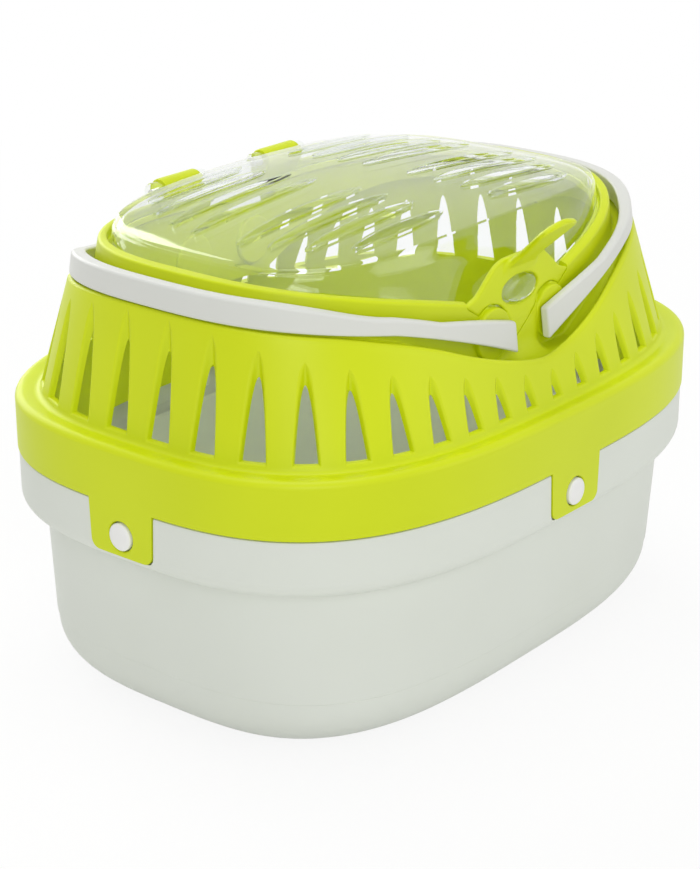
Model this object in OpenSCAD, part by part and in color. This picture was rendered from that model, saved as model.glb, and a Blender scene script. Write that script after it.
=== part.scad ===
// Plastic carrier for small pets: a tub, a slotted cover with a sprung latch
// tongue, a clear vented lid and two folding handles.
// +Z is up, +X runs along the carrier and -Y is the side with the latch.
// The origin is on the floor, under the middle of the tub.

/* [Skirt of the cover] */
// Length over the skirt
skirt_length = 300; // [260:1:340]
// Width over the skirt
skirt_width = 224.6; // [205:0.2:250]
// Squareness of the skirt's outline, 2 is an ellipse
skirt_squareness = 2.96; // [2.8:0.02:3.3]
// Height of the skirt's lower edge above the floor
skirt_lift = 101; // [90:0.5:120]
// Height of the skirt
skirt_height = 24; // [20:0.5:32]
// Wall of the cover
cover_wall = 2.4; // [2:0.1:3]
// Thickness of the ledge between skirt and grille
ledge_thickness = 3; // [2.4:0.1:4]
// Depth of the flange that hangs from the ledge inside the tub
flange_depth = 31; // [20:1:34]

/* [Tub] */
// Wall of the tub
tub_wall = 2.2; // [1.8:0.1:2.6]
// Height of the shoulder's underside above the floor
shoulder_lift = 75.1; // [60:0.1:80]
// Radius under the shoulder
shoulder_radius = 7.7; // [4:0.1:9]
// Step of the shoulder inside the skirt's outer face
shoulder_inset = 0.5; // [0.2:0.1:1]
// Gap between the tub's rim and the skirt
rim_gap = 0.6; // [0.4:0.1:1]
// Step from the shoulder in to the body at the two ends
body_inset_ends = 13.5; // [12:0.5:18]
// Step from the shoulder in to the body at the two sides
body_inset_sides = 9.3; // [9:0.1:14]
// Draft of the body's sides, floor to shoulder
body_draft_sides = 7; // [2:0.5:12]
// Draft of the body's ends, floor to shoulder
body_draft_ends = 1; // [0:0.5:6]
// Squareness of the body's outline
body_squareness = 3.3; // [2.8:0.02:3.6]
// Radius of the tub's lower edge
floor_radius = 22; // [12:0.5:26]

/* [Tabs and studs] */
// Width of a tab
tab_width = 34; // [26:0.5:44]
// Length of a tab below the skirt
tab_length = 21; // [18:0.5:25]
// Chamfer of a tab's lower corners
tab_chamfer = 4; // [2:0.5:7]
// Distance of a stud below the skirt's lower edge
stud_drop = 12.7; // [9:0.1:14]
// Diameter of a stud's head
stud_head = 11.5; // [9:0.1:13]
// Diameter of a stud's shank
stud_shank = 6; // [4:0.1:7]
// Height of a stud's head in front of its tab
stud_proud = 1.2; // [0.8:0.1:2]
// Gap round a stud's head in its tab
stud_gap = 0.3; // [0.2:0.05:0.5]

/* [Grille wall] */
// Step from the skirt in to the grille's foot at the ends
foot_inset_ends = 10.5; // [9:0.5:14]
// Step from the skirt in to the grille's foot at the sides
foot_inset_sides = 9.8; // [9:0.1:13]
// Lean of the ends, inward for each unit of height
lean_ends = 0.19; // [0.15:0.01:0.21]
// Lean of the sides, inward for each unit of height
lean_sides = 0.33; // [0.3:0.01:0.36]
// Height of the pocket's lip above the skirt, at the middle of a side
lip_height = 18.3; // [16:0.1:22]
// Slots between the middle one of a side and the bar in the middle of an end
slot_steps = 10; // [8:1:11]
// Width of the widest slot at its foot, on the wall's inner face
slot_width = 9.8; // [7:0.1:11]
// Height of the shortest slot
slot_low = 4.2; // [3.5:0.1:8]
// Height of the tallest slot
slot_high = 35; // [24:0.5:38]

/* [Collar] */
// Step from the skirt in to the collar's top at the ends
collar_inset_ends = 31.5; // [31:0.5:36]
// Step from the skirt in to the collar's top at the sides
collar_inset_sides = 30.8; // [30.4:0.1:33]
// Squareness of the collar's outline
collar_squareness = 2.7; // [2.5:0.02:2.9]
// Height of the collar's top above the skirt, at the ends
collar_height_ends = 64.5; // [60:0.5:66]
// Height of the collar's top above the skirt, at the back
collar_height_back = 58; // [55:0.5:60]
// Height of the collar's top above the skirt, beside the latch
collar_height_latch = 44.5; // [42:0.5:47]
// Depth of the seat in which the lid's rim lies
seat_depth = 3.4; // [2.5:0.1:5]

/* [Handles] */
// Step from the skirt in to a handle at the ends
handle_inset_ends = 19.5; // [19:0.5:22]
// Step from the skirt in to a handle at the sides
handle_inset_sides = 22.3; // [22:0.1:23]
// Squareness of a handle's outline
handle_squareness = 2.8; // [2.6:0.02:2.9]
// Thickness of a handle at its grip
grip_thickness = 5.5; // [4.5:0.1:6]
// Thickness of a handle's arms
arm_thickness = 3.8; // [3.4:0.1:4.2]
// Height of a handle's band at the grip
grip_height = 10.1; // [9:0.1:12]
// Height of a handle's band in its arms
arm_height = 6.5; // [6:0.1:8]
// Height of a handle's pivots above the skirt
pivot_height = 30; // [29.5:0.5:31]
// Distance of a handle's pivots from the middle
pivot_offset = 20; // [19.5:0.5:22]
// Distance of a handle's ends from the middle
handle_end = 11; // [10.5:0.5:12]
// Diameter of a pivot pin
pivot_pin = 6; // [4:0.1:7]
// Radial clearance of a handle on its pivot pins
pivot_clearance = 0.06; // [0.03:0.01:0.1]
// Radius of a pivot boss on the collar
pivot_boss = 11; // [9:0.5:11.5]

/* [Lid] */
// Clearance between the lid's rim and the collar
lid_clearance = 0.7; // [0.5:0.1:1]
// Step from the collar's outer face in to the lid's seat at the ends
lid_inset_ends = 5.5; // [5:0.1:7]
// Step from the collar's outer face in to the lid's seat at the sides
lid_inset_sides = 4; // [3.8:0.1:5]
// Wall of the lid
lid_wall = 2; // [1.6:0.1:2.4]
// Height of the lid's crown above the skirt
crown_height = 77; // [74:0.5:84]
// Height of the lid's crease above the skirt, at the sides
crease_height_sides = 72.2; // [70:0.1:73]
// Height of the lid's crease above the skirt, at the ends
crease_height_ends = 68.3; // [67.5:0.1:69]
// Step from the lid's rim in to its crease
crease_inset = 7.6; // [6:0.1:9]
// Vents in each quarter of the lid
vent_rows = 4; // [2:1:4]
// Distance of the first row of vents from the middle
vent_first = 12; // [10:0.5:13]
// Distance between rows of vents
vent_pitch = 14; // [12:0.5:14.5]
// Width of a vent
vent_width = 5.2; // [3:0.1:7]
// Distance of the vents' inner ends from the middle
vent_gap = 17; // [10:0.5:24]
// Distance of the longest vent's outer end from the middle
vent_reach = 91; // [70:0.5:93]

/* [Lid hinge] */
// Distance of a hinge lug's middle from the middle of the lid
lug_offset = 32.5; // [30:0.5:36]
// Length of a hinge lug
lug_length = 23; // [16:0.5:26]
// Radius of a hinge lug
lug_radius = 5.5; // [4.5:0.1:5.6]
// Height of the hinge's axis above the skirt
hinge_height = 66.5; // [66:0.1:68]
// Diameter of a hinge pin
hinge_pin = 3.5; // [2.5:0.1:4]
// Thickness of a hinge ear
ear_thickness = 4; // [3:0.1:5]
// Radius of a hinge ear
ear_radius = 4.5; // [3.8:0.1:4.6]

/* [Latch] */
// Half the width of the latch tongue at its notches
tongue_half = 35; // [33:0.5:37]
// Thickness of the tongue
tongue_thickness = 2.4; // [2:0.1:2.8]
// Height of the tongue's shoulders above the skirt
tongue_height = 58; // [56:0.5:60]
// Height of the notches beside the tongue above the skirt
notch_height = 44.5; // [43.5:0.5:45]
// Width of the saw cut between tongue and collar
tongue_gap = 0.4; // [0.3:0.05:0.6]
// Height of the oval hole's middle above the skirt
hole_height = 44.3; // [43:0.1:46]
// Width of the oval hole
hole_width = 25; // [18:0.5:27]
// Height of the oval hole
hole_tall = 12; // [9:0.5:13]
// Reach of the thumb petal in front of the tongue
petal_reach = 22; // [16:0.5:25]
// Rise of the thumb petal above the tongue's shoulders
petal_rise = 20; // [16:0.5:22]
// Half the width of the thumb petal
petal_half = 11; // [9:0.5:12]
// Thickness of the thumb petal
petal_thickness = 4; // [3:0.1:5]

/* [Hidden] */

lime = "#c3d526";
warm_grey = "#cdd1ca";
pale_grey = "#dcdedb";
stud_white = "#ebebeb";
clear = "#dfe8e2";

// Facets: stations in a quarter of a loop and facets of small rounds
quarter = 22;
stations = 4 * quarter;
fine = 48;
cut_extra = 1;
fillet_steps = 3;

// Outlines are [half length, half width, squareness]
skirt = [skirt_length / 2, skirt_width / 2, skirt_squareness];
skirt_inner = inset(skirt, cover_wall);
shoulder = inset(skirt, shoulder_inset);
tub_rim = inset(skirt_inner, rim_gap);
body_top = [shoulder[0] - body_inset_ends, shoulder[1] - body_inset_sides, body_squareness];
body_low = [body_top[0] - body_draft_ends, body_top[1] - body_draft_sides, body_squareness];
foot = [skirt[0] - foot_inset_ends, skirt[1] - foot_inset_sides, 3];
collar_top = [skirt[0] - collar_inset_ends, skirt[1] - collar_inset_sides, collar_squareness];
handle_low = [skirt[0] - handle_inset_ends, skirt[1] - handle_inset_sides, handle_squareness];
seat = [collar_top[0] - lid_inset_ends, collar_top[1] - lid_inset_sides, 2.9];
lid_rim = inset(seat, lid_clearance);
crease = [lid_rim[0] - crease_inset, lid_rim[1] - crease_inset, 3.6];

// Heights above the floor
skirt_top = skirt_lift + skirt_height;
ledge_under = skirt_top - ledge_thickness;
rest_gap = 0.3;
top_inset = 1.65;
pin_root = 4.5;
pin_reach = 4.2;
bore_end = 0.3;
pivot_bore = pivot_pin + 2 * pivot_clearance;
tub_height = ledge_under - rest_gap;
foot_rise = 1.5;
foot_z = skirt_top + foot_rise;
pivot_z = skirt_top + pivot_height;
stud_z = skirt_lift - stud_drop;
hinge_z = skirt_top + hinge_height;
hinge_step = 1.04;
hinge_y = outline_half_width(lid_rim, lug_offset + (lug_length + ear_thickness) / 2) + hinge_step;
crown_z = skirt_top + crown_height;
hole_z = skirt_top + hole_height;
notch_z = skirt_top + notch_height;
tongue_z = skirt_top + tongue_height;

function inset(o, d) = [o[0] - d, o[1] - d, o[2]];
function blend(a, b, u) = a + (b - a) * u;
function clamp(v, low, high) = min(high, max(low, v));
function ease(u) = let (v = clamp(u, 0, 1)) v * v * (3 - 2 * v);
function smooth_min(a, b, r) = let (h = max(r - abs(a - b), 0) / r) min(a, b) - h * h * r / 4;

// Point of an outline at an angle, and its half width at a distance from the middle
function outline_point(o, t) =
    let (k = pow(pow(abs(cos(t)), o[2]) + pow(abs(sin(t)), o[2]), -1 / o[2]))
    [o[0] * k * cos(t), o[1] * k * sin(t)];
function outline_half_width(o, x) = o[1] * pow(1 - pow(min(1, abs(x) / o[0]), o[2]), 1 / o[2]);

// Angles of the stations, evenly spaced along the grille's foot
arc = [
    for (k = 0, s = 0; k <= 90; s = s + norm(outline_point(foot, k + 1) - outline_point(foot, k)), k = k + 1)
        [s, k]
];
arc_length = arc[90][0];
quarter_angles = [for (j = [0:quarter]) lookup(arc_length * j / quarter, arc)];
function station_angle(j) =
    let (q = floor(j / quarter), r = j - q * quarter)
    q % 2 == 0 ? 90 * q + quarter_angles[r] : 90 * (q + 1) - quarter_angles[quarter - r];
angles = [for (j = [0:stations - 1]) station_angle(j)];

// A ring is a list of points, one for each station
function ring(o, z) = [for (t = angles) let (p = outline_point(o, t)) [p[0], p[1], z]];
function blend_ring(a, b, u) = [for (j = [0:len(a) - 1]) a[j] + (b[j] - a[j]) * u];

// Closed skin over rings: capped at both ends, or joined from the last to the first
module loft(rings, joined = false) {
    n = len(rings[0]);
    m = len(rings);
    bands = joined ? m : m - 1;
    sides = [
        for (i = [0:bands - 1])
            for (j = [0:n - 1])
                let (a = i * n + j, b = i * n + (j + 1) % n,
                     c = ((i + 1) % m) * n + (j + 1) % n, d = ((i + 1) % m) * n + j)
                each [[a, d, c], [a, c, b]]
    ];
    caps = joined ? [] : [[for (j = [0:n - 1]) j], [for (j = [n - 1:-1:0]) (m - 1) * n + j]];
    polyhedron(points = [for (r = rings) each r], faces = concat(sides, caps));
}

// The four tabs: angle of turn and distance of the skirt from the middle
tab_places = [[0, skirt[1]], [90, skirt[0]], [180, skirt[1]], [270, skirt[0]]];

/* Tub */

body_fillet = 3;
floor_thickness = 2.4;
recess_gap = 0.5;
rim_step_drop = 4;

function tub_outline(z) = blend(body_low, body_top, clamp(z / shoulder_lift, 0, 1));

step_z = skirt_lift - recess_gap;
step_chamfer = 0.6;
rim_inner = inset(tub_rim, tub_wall);
shoulder_inner = inset(shoulder, tub_wall);

function tub_outer() = concat(
    [for (k = [0:fillet_steps + 1])
        let (a = 90 * k / (fillet_steps + 1), z = floor_radius * (1 - cos(a)))
        ring(inset(tub_outline(z), floor_radius * (1 - sin(a))), z)],
    [for (k = [0:2])
        let (a = 45 * k)
        ring(inset(body_top, -body_fillet * (1 - cos(a))), shoulder_lift - body_fillet * (1 - sin(a)))],
    [for (k = [0:fillet_steps])
        let (a = 90 * k / fillet_steps, r = shoulder_radius)
        ring(inset(shoulder, r * (1 - sin(a))), shoulder_lift + r * (1 - cos(a)))],
    [ring(shoulder, step_z - step_chamfer), ring(inset(shoulder, step_chamfer), step_z)],
    [ring(tub_rim, step_z), ring(tub_rim, tub_height)]
);

function tub_inner() = concat(
    [ring(rim_inner, tub_height), ring(rim_inner, skirt_lift - rim_step_drop)],
    [ring(shoulder_inner, skirt_lift - rim_step_drop - tub_wall)],
    [for (k = [fillet_steps:-1:0])
        let (a = 90 * k / fillet_steps, r = shoulder_radius - tub_wall)
        ring(inset(shoulder_inner, r * (1 - sin(a))), shoulder_lift + tub_wall + r * (1 - cos(a)))],
    [ring(inset(body_top, tub_wall), shoulder_lift + tub_wall)],
    [for (k = [fillet_steps + 1:-1:0])
        let (a = 90 * k / (fillet_steps + 1), r = floor_radius - tub_wall,
             z = floor_thickness + r * (1 - cos(a)))
        ring(inset(tub_outline(z), tub_wall + r * (1 - sin(a))), z)]
);

// Outline of a tab, seen from outside, with its top at the skirt
module tab_outline(grow, top) {
    half = tab_width / 2 + grow;
    low = skirt_lift - tab_length - grow;
    polygon([
        [-half, top], [-half, low + tab_chamfer], [-half + tab_chamfer, low],
        [half - tab_chamfer, low], [half, low + tab_chamfer], [half, top]
    ]);
}

// Tab outline as a block that runs from one distance to another from the middle
module tab_block(grow, top, from, to) {
    for (place = tab_places)
        rotate([0, 0, place[0]])
            translate([0, -place[1] + from, 0])
                rotate([90, 0, 0])
                    mirror([0, 0, 1])
                        linear_extrude(to - from)
                            tab_outline(grow, top);
}

module stud_holes(diameter, from, to) {
    for (place = tab_places)
        rotate([0, 0, place[0]])
            translate([0, -place[1] + from, stud_z])
                rotate([-90, 0, 0])
                    cylinder(d = diameter, h = to - from, $fn = fine);
}

// The shoulder's wall is thicker behind each tab, where the tab lies in it
pad_depth = 12;
pad_outer = inset(shoulder, 0.7 * tub_wall);
pad_low = shoulder_lift + shoulder_radius / 2;

module base_tub() {
    color(warm_grey)
        difference() {
            union() {
                loft(concat(tub_outer(), tub_inner()));
                intersection() {
                    loft([ring(pad_outer, pad_low), ring(pad_outer, step_z),
                          ring(rim_inner, step_z), ring(rim_inner, pad_low)], joined = true);
                    tab_block(tub_wall, skirt_lift, 0, pad_depth);
                }
            }
            difference() {
                tab_block(recess_gap, skirt_lift, -cut_extra, cover_wall + rim_gap + cut_extra);
                loft([ring(tub_rim, 0), ring(tub_rim, skirt_lift)]);
            }
            stud_holes(stud_shank, 0, pad_depth);
        }
}

/* Cover */

// Outer faces at a height: the grille's wall and the collar
function wall_outline(z) = [foot[0] - lean_ends * (z - foot_z), foot[1] - lean_sides * (z - foot_z), foot[2]];
collar_lean_ends = 0.3;
collar_lean_sides = 0.03;
function collar_outline(z) = [
    collar_top[0] + collar_lean_ends * (skirt_top + collar_height_ends - z),
    collar_top[1] + collar_lean_sides * (skirt_top + collar_height_ends - z),
    collar_top[2]
];

// Heights along the cover, as functions of the distance from its middle
handle_rise = 28;
handle_climb = 24.4;
arm_drop = 10.3;
drop_start = 80;
flare_start = 56;
function arm_line(x) = skirt_top + handle_rise + handle_climb * pow(min(1, abs(x) / handle_low[0]), 0.8);
function toward_end(x, start) = clamp((start - abs(x)) / (start - handle_end), 0, 1);
function handle_bottom(x) = arm_line(x) - arm_drop * pow(toward_end(x, drop_start), 1.25);
lip_curve = 0.0376;
shelf_gap = 0.6;
shelf_drop = 3.4;
shelf_end = 105;
shelf_run = 45;
lip_blend = 3;
function lip_z(x) = smooth_min(
    skirt_top + lip_height + lip_curve * pow(abs(x), 1.5),
    arm_line(x) - shelf_gap - shelf_drop * ease((shelf_end - abs(x)) / shelf_run),
    lip_blend
);
pocket_drop = 1.5;
pocket_flat = 30;
swing_radius = 13.2;
function pocket_z(x) =
    min(lip_z(x) - pocket_drop, pivot_z - swing_radius + 0.5 * max(0, abs(x) - pocket_flat));
collar_dip_power = 0.7;
latch_dip = 12;
function collar_z(x, y) =
    let (u = pow(min(1, abs(x) / collar_top[0]), collar_dip_power),
         low = y < 0 ? collar_height_latch - latch_dip : collar_height_back)
    skirt_top + blend(low, collar_height_ends, u);

// One ring whose height and outline vary along the cover
function shaped_ring(heights, outlines) = [
    for (j = [0:stations - 1])
        let (p = outline_point(outlines[j], angles[j]))
        [p[0], p[1], heights[j]]
];
guide = [for (t = angles) outline_point(handle_low, t)];
lip_line = [for (p = guide) lip_z(p[0])];
pocket_line = [for (p = guide) pocket_z(p[0])];
collar_line = [for (p = guide) collar_z(p[0] * collar_top[0] / handle_low[0], p[1])];
function shift(line, d) = [for (v = line) v + d];
function wall_at(line, d) = [for (v = line) inset(wall_outline(v), d)];
function collar_at(line, d) = [for (v = line) inset(collar_outline(v), d)];
function constant(value) = [for (j = [0:stations - 1]) value];
seat_lip = 2.5;
seat_lip_thickness = 2.2;
seat_line = shift(collar_line, -seat_depth);
seat_inner = inset(seat, seat_lip);
seat_under = shift(seat_line, -seat_lip_thickness);
collar_under = shift(seat_line, -2 * seat_lip_thickness);
pocket_under = shift(pocket_line, -cover_wall);
wall_under = shift(pocket_line, -2 * cover_wall);
groove_step = 1.6;
groove_rise = 0.3;
flange_z = ledge_under - flange_depth;
flange_root = 0.2;
flange_tip = 0.9;

function cover_rings() = [
    ring(skirt, skirt_lift),
    ring(skirt, skirt_top - 2),
    ring(inset(skirt, 0.5), skirt_top - 0.6),
    ring(inset(skirt, 2), skirt_top),
    ring(inset(foot, -groove_step), skirt_top + groove_rise),
    ring(foot, foot_z),
    shaped_ring(shift(lip_line, -1), wall_at(shift(lip_line, -1), 0)),
    shaped_ring(lip_line, wall_at(lip_line, 0.9)),
    shaped_ring(shift(lip_line, -0.5), wall_at(lip_line, cover_wall)),
    shaped_ring(pocket_line, wall_at(lip_line, cover_wall + 1.2)),
    shaped_ring(pocket_line, collar_at(pocket_line, 0)),
    shaped_ring(shift(collar_line, -1), collar_at(shift(collar_line, -1), 0)),
    shaped_ring(collar_line, collar_at(collar_line, 1)),
    shaped_ring(collar_line, constant(inset(seat, -0.8))),
    shaped_ring(shift(collar_line, -0.8), constant(seat)),
    shaped_ring(seat_line, constant(seat)),
    shaped_ring(seat_line, constant(seat_inner)),
    shaped_ring(seat_under, constant(seat_inner)),
    shaped_ring(collar_under, collar_at(collar_under, cover_wall)),
    shaped_ring(pocket_under, collar_at(pocket_line, cover_wall)),
    shaped_ring(wall_under, wall_at(wall_under, cover_wall)),
    ring(inset(foot, cover_wall), foot_z),
    ring(inset(foot, cover_wall), flange_z),
    ring(inset(foot, flange_tip), flange_z),
    ring(inset(foot, flange_root), ledge_under),
    ring(skirt_inner, ledge_under),
    ring(skirt_inner, skirt_lift)
];

// Steps from the middle slot of a side to the bar in the middle of an end
slot_count = slot_steps + 0.5;

// Height of a slot by its step from the middle of a side
slot_power = 1.4;
function slot_height(i) = slot_low + (slot_high - slot_low) * pow(sin(90 * i / slot_count), slot_power);

// Angle of a slot: the slots stand a little closer along the sides than at the ends
slot_crowding = 0.4;
function slot_angle(i) =
    let (crowded = i - slot_crowding * sin(180 * pow(i / slot_count, 1.15)))
    lookup(arc_length * (1 - crowded / slot_count), arc);

// The plan of a slot is a rounded wedge that points inwards and is cut straight down
// into the leaning wall: it opens the wall at its foot and fades out above its tip.
// Shares of the wedge's depth on the inner face, from its point outwards
slot_shares = [0, 0.04, 0.15, 0.4, 1];
slot_curve = 0.55;
slot_width_power = 0.42;
slot_foot_rise = 2.3;
slot_clear = 60;

// One slot at a station
module slot(i, t) {
    p = outline_point(foot, t);
    q = outline_point(foot, t + 1) - outline_point(foot, t - 1);
    turn = atan2(q[1], q[0]);
    lean = blend(lean_sides, lean_ends, sqrt(1 - abs(cos(turn))));
    height = slot_height(i);
    depth = lean * height;
    half = slot_width / 2 * pow(height / slot_high, slot_width_power);
    shares = concat(slot_shares, [(depth + cover_wall + cut_extra) / depth]);
    right = [for (u = shares) [half * pow(u, slot_curve), cover_wall + depth * (1 - u)]];
    left = [for (k = [len(right) - 1:-1:1]) [-right[k][0], right[k][1]]];
    translate([p[0], p[1], skirt_top + slot_foot_rise])
        rotate([0, 0, turn])
            linear_extrude(slot_clear)
                polygon(concat(right, left));
}

module slots() {
    for (i = [0:slot_steps])
        for (k = [0:3]) {
            t = slot_angle(i);
            skip = i == 0 && k > 1;
            if (!skip)
                slot(i, k == 0 ? t : k == 1 ? -t : k == 2 ? 180 - t : 180 + t);
        }
}

// Front of the tongue at the collar, and the face that carries the handles' pivots
tongue_face = collar_outline(notch_z)[1];
boss_gap = 0.25;
boss_face = outline_half_width(handle_low, pivot_offset) - arm_thickness - top_inset - boss_gap;
boss_depth = 6;

root_half = 6.5;
root_drop = 6;
root_z = pivot_z - root_drop;
bead_z = root_z + tongue_thickness / 2;
bead_bury = 0.3;
bend_start = 147;
bend_end = 50;
front_inner = seat[1] - 8;
front_outer = tongue_face + 12;
// Shares of the tongue's half width, and of the rise from its notch to its top
tongue_arch = [[1, 0], [0.843, 0.148], [0.743, 0.333], [0.643, 0.556], [0.457, 0.926], [0.257, 1.074]];

// Right half of the tongue's lower edge, seen from the front: its root between the
// pivot bosses and its curve over them; grow widens it for the cut in the collar
function tongue_root(grow, low) =
    let (bend = pivot_boss + 1 - grow)
    concat(
        [[root_half + grow, low]],
        [for (k = [0:6])
            let (a = blend(bend_start, bend_end, k / 6))
            [pivot_offset + bend * cos(a), pivot_z + bend * sin(a)]],
        [[tongue_half - 1 + grow, notch_z - 1.2 - grow]]
    );

module two_halves(right) {
    left = [for (k = [len(right) - 1:-1:0]) [-right[k][0], right[k][1]]];
    polygon(concat(right, left));
}

module tongue_outline() {
    two_halves(concat(
        tongue_root(0, bead_z - bead_bury),
        [for (share = tongue_arch) [share[0] * tongue_half, blend(notch_z, tongue_z, share[1])]]
    ));
}

module tongue_cut() {
    half = tongue_half + tongue_gap;
    two_halves(concat(tongue_root(tongue_gap, root_z - tongue_gap), [[half, notch_z], [half, crown_z]]));
}

// A block through the collar's front, of a flat outline
module front_block(depth_from, depth_to) {
    translate([0, -depth_from, 0])
        rotate([90, 0, 0])
            linear_extrude(depth_to - depth_from)
                children();
}

module pivot_places() {
    for (side_x = [-1, 1])
        for (side_y = [-1, 1])
            translate([side_x * pivot_offset, side_y * boss_face, pivot_z])
                rotate([side_y < 0 ? -90 : 90, 0, 0])
                    children();
}

lug_step = 0.6;
lug_root = 4;

module hinge_lugs() {
    for (side = [-1, 1])
        translate([side * lug_offset - lug_length / 2, 0, 0])
            difference() {
                hull() {
                    translate([0, hinge_y, hinge_z])
                        rotate([0, 90, 0])
                            cylinder(r = lug_radius, h = lug_length, $fn = 32);
                    translate([0, seat[1] + lug_step, skirt_top + collar_height_back - lug_root])
                        cube([lug_length, collar_top[1] - seat[1] - lug_step, 1]);
                }
                translate([-cut_extra, hinge_y, hinge_z])
                    rotate([0, 90, 0])
                        cylinder(d = hinge_pin, h = lug_length + 2 * cut_extra, $fn = fine);
            }
}

// The skirt carried down over the tabs
module tab_plates() {
    top = skirt_lift + 1;
    low = skirt_lift - tab_length - 1;
    intersection() {
        loft([ring(skirt, low), ring(skirt, top),
              ring(skirt_inner, top), ring(skirt_inner, low)], joined = true);
        tab_block(0, top, -cut_extra, cover_wall * 3);
    }
}

module grille_cover() {
    color(lime)
        difference() {
            union() {
                loft(cover_rings(), joined = true);
                tab_plates();
                pivot_places()
                    cylinder(r = pivot_boss, h = boss_depth, $fn = fine);
                hinge_lugs();
            }
            slots();
            pivot_places()
                translate([0, 0, -cut_extra])
                    cylinder(d = pivot_pin, h = boss_depth + 3 * cut_extra, $fn = fine);
            front_block(front_inner, front_outer)
                tongue_cut();
            stud_holes(stud_head + 2 * stud_gap, -cut_extra, cover_wall + cut_extra);
        }
}

/* Latch tongue */

// Sections of the thumb petal from its root to its tip, as shares of its reach, rise,
// half width and thickness
petal_sections = [
    [0, 0, 1.18, 1], [0.1, 0.12, 0.95, 1], [0.28, 0.32, 0.76, 1], [0.45, 0.5, 0.78, 1],
    [0.62, 0.68, 0.91, 0.96], [0.78, 0.84, 1, 0.9], [0.92, 0.97, 0.82, 0.8], [1, 1.05, 0.45, 0.6]
];
petal_root = 3;

module petal_section(s) {
    r = s[3] * petal_thickness / 2;
    forward = tongue_face - tongue_thickness / 2 + s[0] * petal_reach;
    translate([0, -forward, tongue_z - petal_root + s[1] * (petal_rise + petal_root)])
        for (side = [-1, 1])
            translate([side * (s[2] * petal_half - r), 0, 0])
                sphere(r = r, $fn = 10);
}

module petal() {
    for (k = [0:len(petal_sections) - 2])
        hull() {
            petal_section(petal_sections[k]);
            petal_section(petal_sections[k + 1]);
        }
}

// The collar's wall carried up as far as the tongue needs it
module tongue_shell() {
    low = collar_outline(foot_z);
    high = collar_outline(crown_z);
    loft([ring(low, foot_z), ring(high, crown_z), ring(inset(high, tongue_thickness), crown_z),
          ring(inset(low, tongue_thickness), foot_z)],
         joined = true);
}

// Round bead along the tongue's root, on which it bends
module root_bead() {
    translate([-root_half, tongue_thickness / 2 - collar_outline(bead_z)[1], bead_z])
        rotate([0, 90, 0])
            cylinder(d = tongue_thickness, h = 2 * root_half, $fn = 24);
}

module latch_tongue() {
    color(lime)
        difference() {
            union() {
                intersection() {
                    front_block(front_inner, front_outer)
                        tongue_outline();
                    tongue_shell();
                }
                root_bead();
                petal();
            }
            front_block(front_inner, skirt[1])
                translate([0, hole_z])
                    scale([hole_width / hole_tall, 1])
                        circle(d = hole_tall, $fn = fine);
        }
}

/* Lid */

dome_power = 2.4;
ear_bore = hinge_pin + 0.1;
rim_lift = 0.5;
crease_line = [
    for (t = angles)
        let (x = outline_point(crease, t)[0] / crease[0])
        skirt_top + blend(crease_height_sides, crease_height_ends, x * x)
];
// The rim lies in the collar's seat, and behind the tongue it reaches below the latch boss
boss_foot = hole_z - hole_tall / 2 - 1;
rim_line = [for (j = [0:stations - 1]) max(seat_line[j] + rim_lift, boss_foot)];

// The dome at a share of the way from its middle to the crease, lowered and drawn in by the wall
function dome_ring(u, wall) = [
    for (j = [0:stations - 1])
        let (p = outline_point(inset(crease, wall), angles[j]))
        [u * p[0], u * p[1], blend(crown_z, crease_line[j], pow(u, dome_power)) - wall]
];
function rim_ring(wall) = [
    for (j = [0:stations - 1])
        let (p = outline_point(inset(lid_rim, wall), angles[j]))
        [p[0], p[1], rim_line[j]]
];
crown_share = 0.1;
function crown_ring(wall) = [
    for (t = angles)
        let (p = crown_share * outline_point(crease, t))
        [p[0], p[1], crown_z - wall]
];
crease_share = 0.85;
dome_shares = [0.22, 0.42, 0.6, 0.74, 0.86, 0.95, 1];

function lid_rings() = concat(
    [crown_ring(lid_wall)],
    [for (u = dome_shares) dome_ring(u, lid_wall)],
    [blend_ring(rim_ring(lid_wall), dome_ring(1, lid_wall), crease_share), rim_ring(lid_wall)],
    [rim_ring(0), blend_ring(rim_ring(0), dome_ring(1, 0), crease_share)],
    [for (k = [len(dome_shares) - 1:-1:0]) dome_ring(dome_shares[k], 0)],
    [crown_ring(0)]
);

// Outer end of a vent by its row: the ends follow the crease
vent_bow = 1.07;
vent_bow_power = 2.6;
function vent_end(k) =
    let (share = (vent_first + k * vent_pitch) / (vent_bow * crease[1]))
    vent_reach * pow(1 - pow(share, vent_bow_power), 0.42);

// A lens between two points on a line along X
module lens(from, to, width) {
    chord = to - from;
    radius = (chord * chord / 4 + width * width / 4) / width;
    translate([(from + to) / 2, 0])
        intersection() {
            translate([0, radius - width / 2])
                circle(r = radius, $fn = 128);
            translate([0, width / 2 - radius])
                circle(r = radius, $fn = 128);
        }
}

module vents() {
    for (k = [0:vent_rows - 1])
        for (side_x = [0, 1])
            for (side_y = [-1, 1])
                mirror([side_x, 0, 0])
                    translate([0, side_y * (vent_first + k * vent_pitch), skirt_top + collar_height_latch])
                        linear_extrude(crown_height)
                            lens(vent_gap, vent_end(k), vent_width);
}

ear_gap = 0.5;

module hinge_ears() {
    for (side = [-1, 1])
        for (end = [-1, 1]) {
            middle = side * lug_offset + end * ((lug_length + ear_thickness) / 2 + ear_gap);
            translate([middle - ear_thickness / 2, hinge_y, hinge_z])
                rotate([0, 90, 0])
                    cylinder(r = ear_radius, h = ear_thickness, $fn = 32);
        }
}

// Notches in the lid round the hinge lugs, open at its rim
lug_gap = 1.5;

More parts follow.
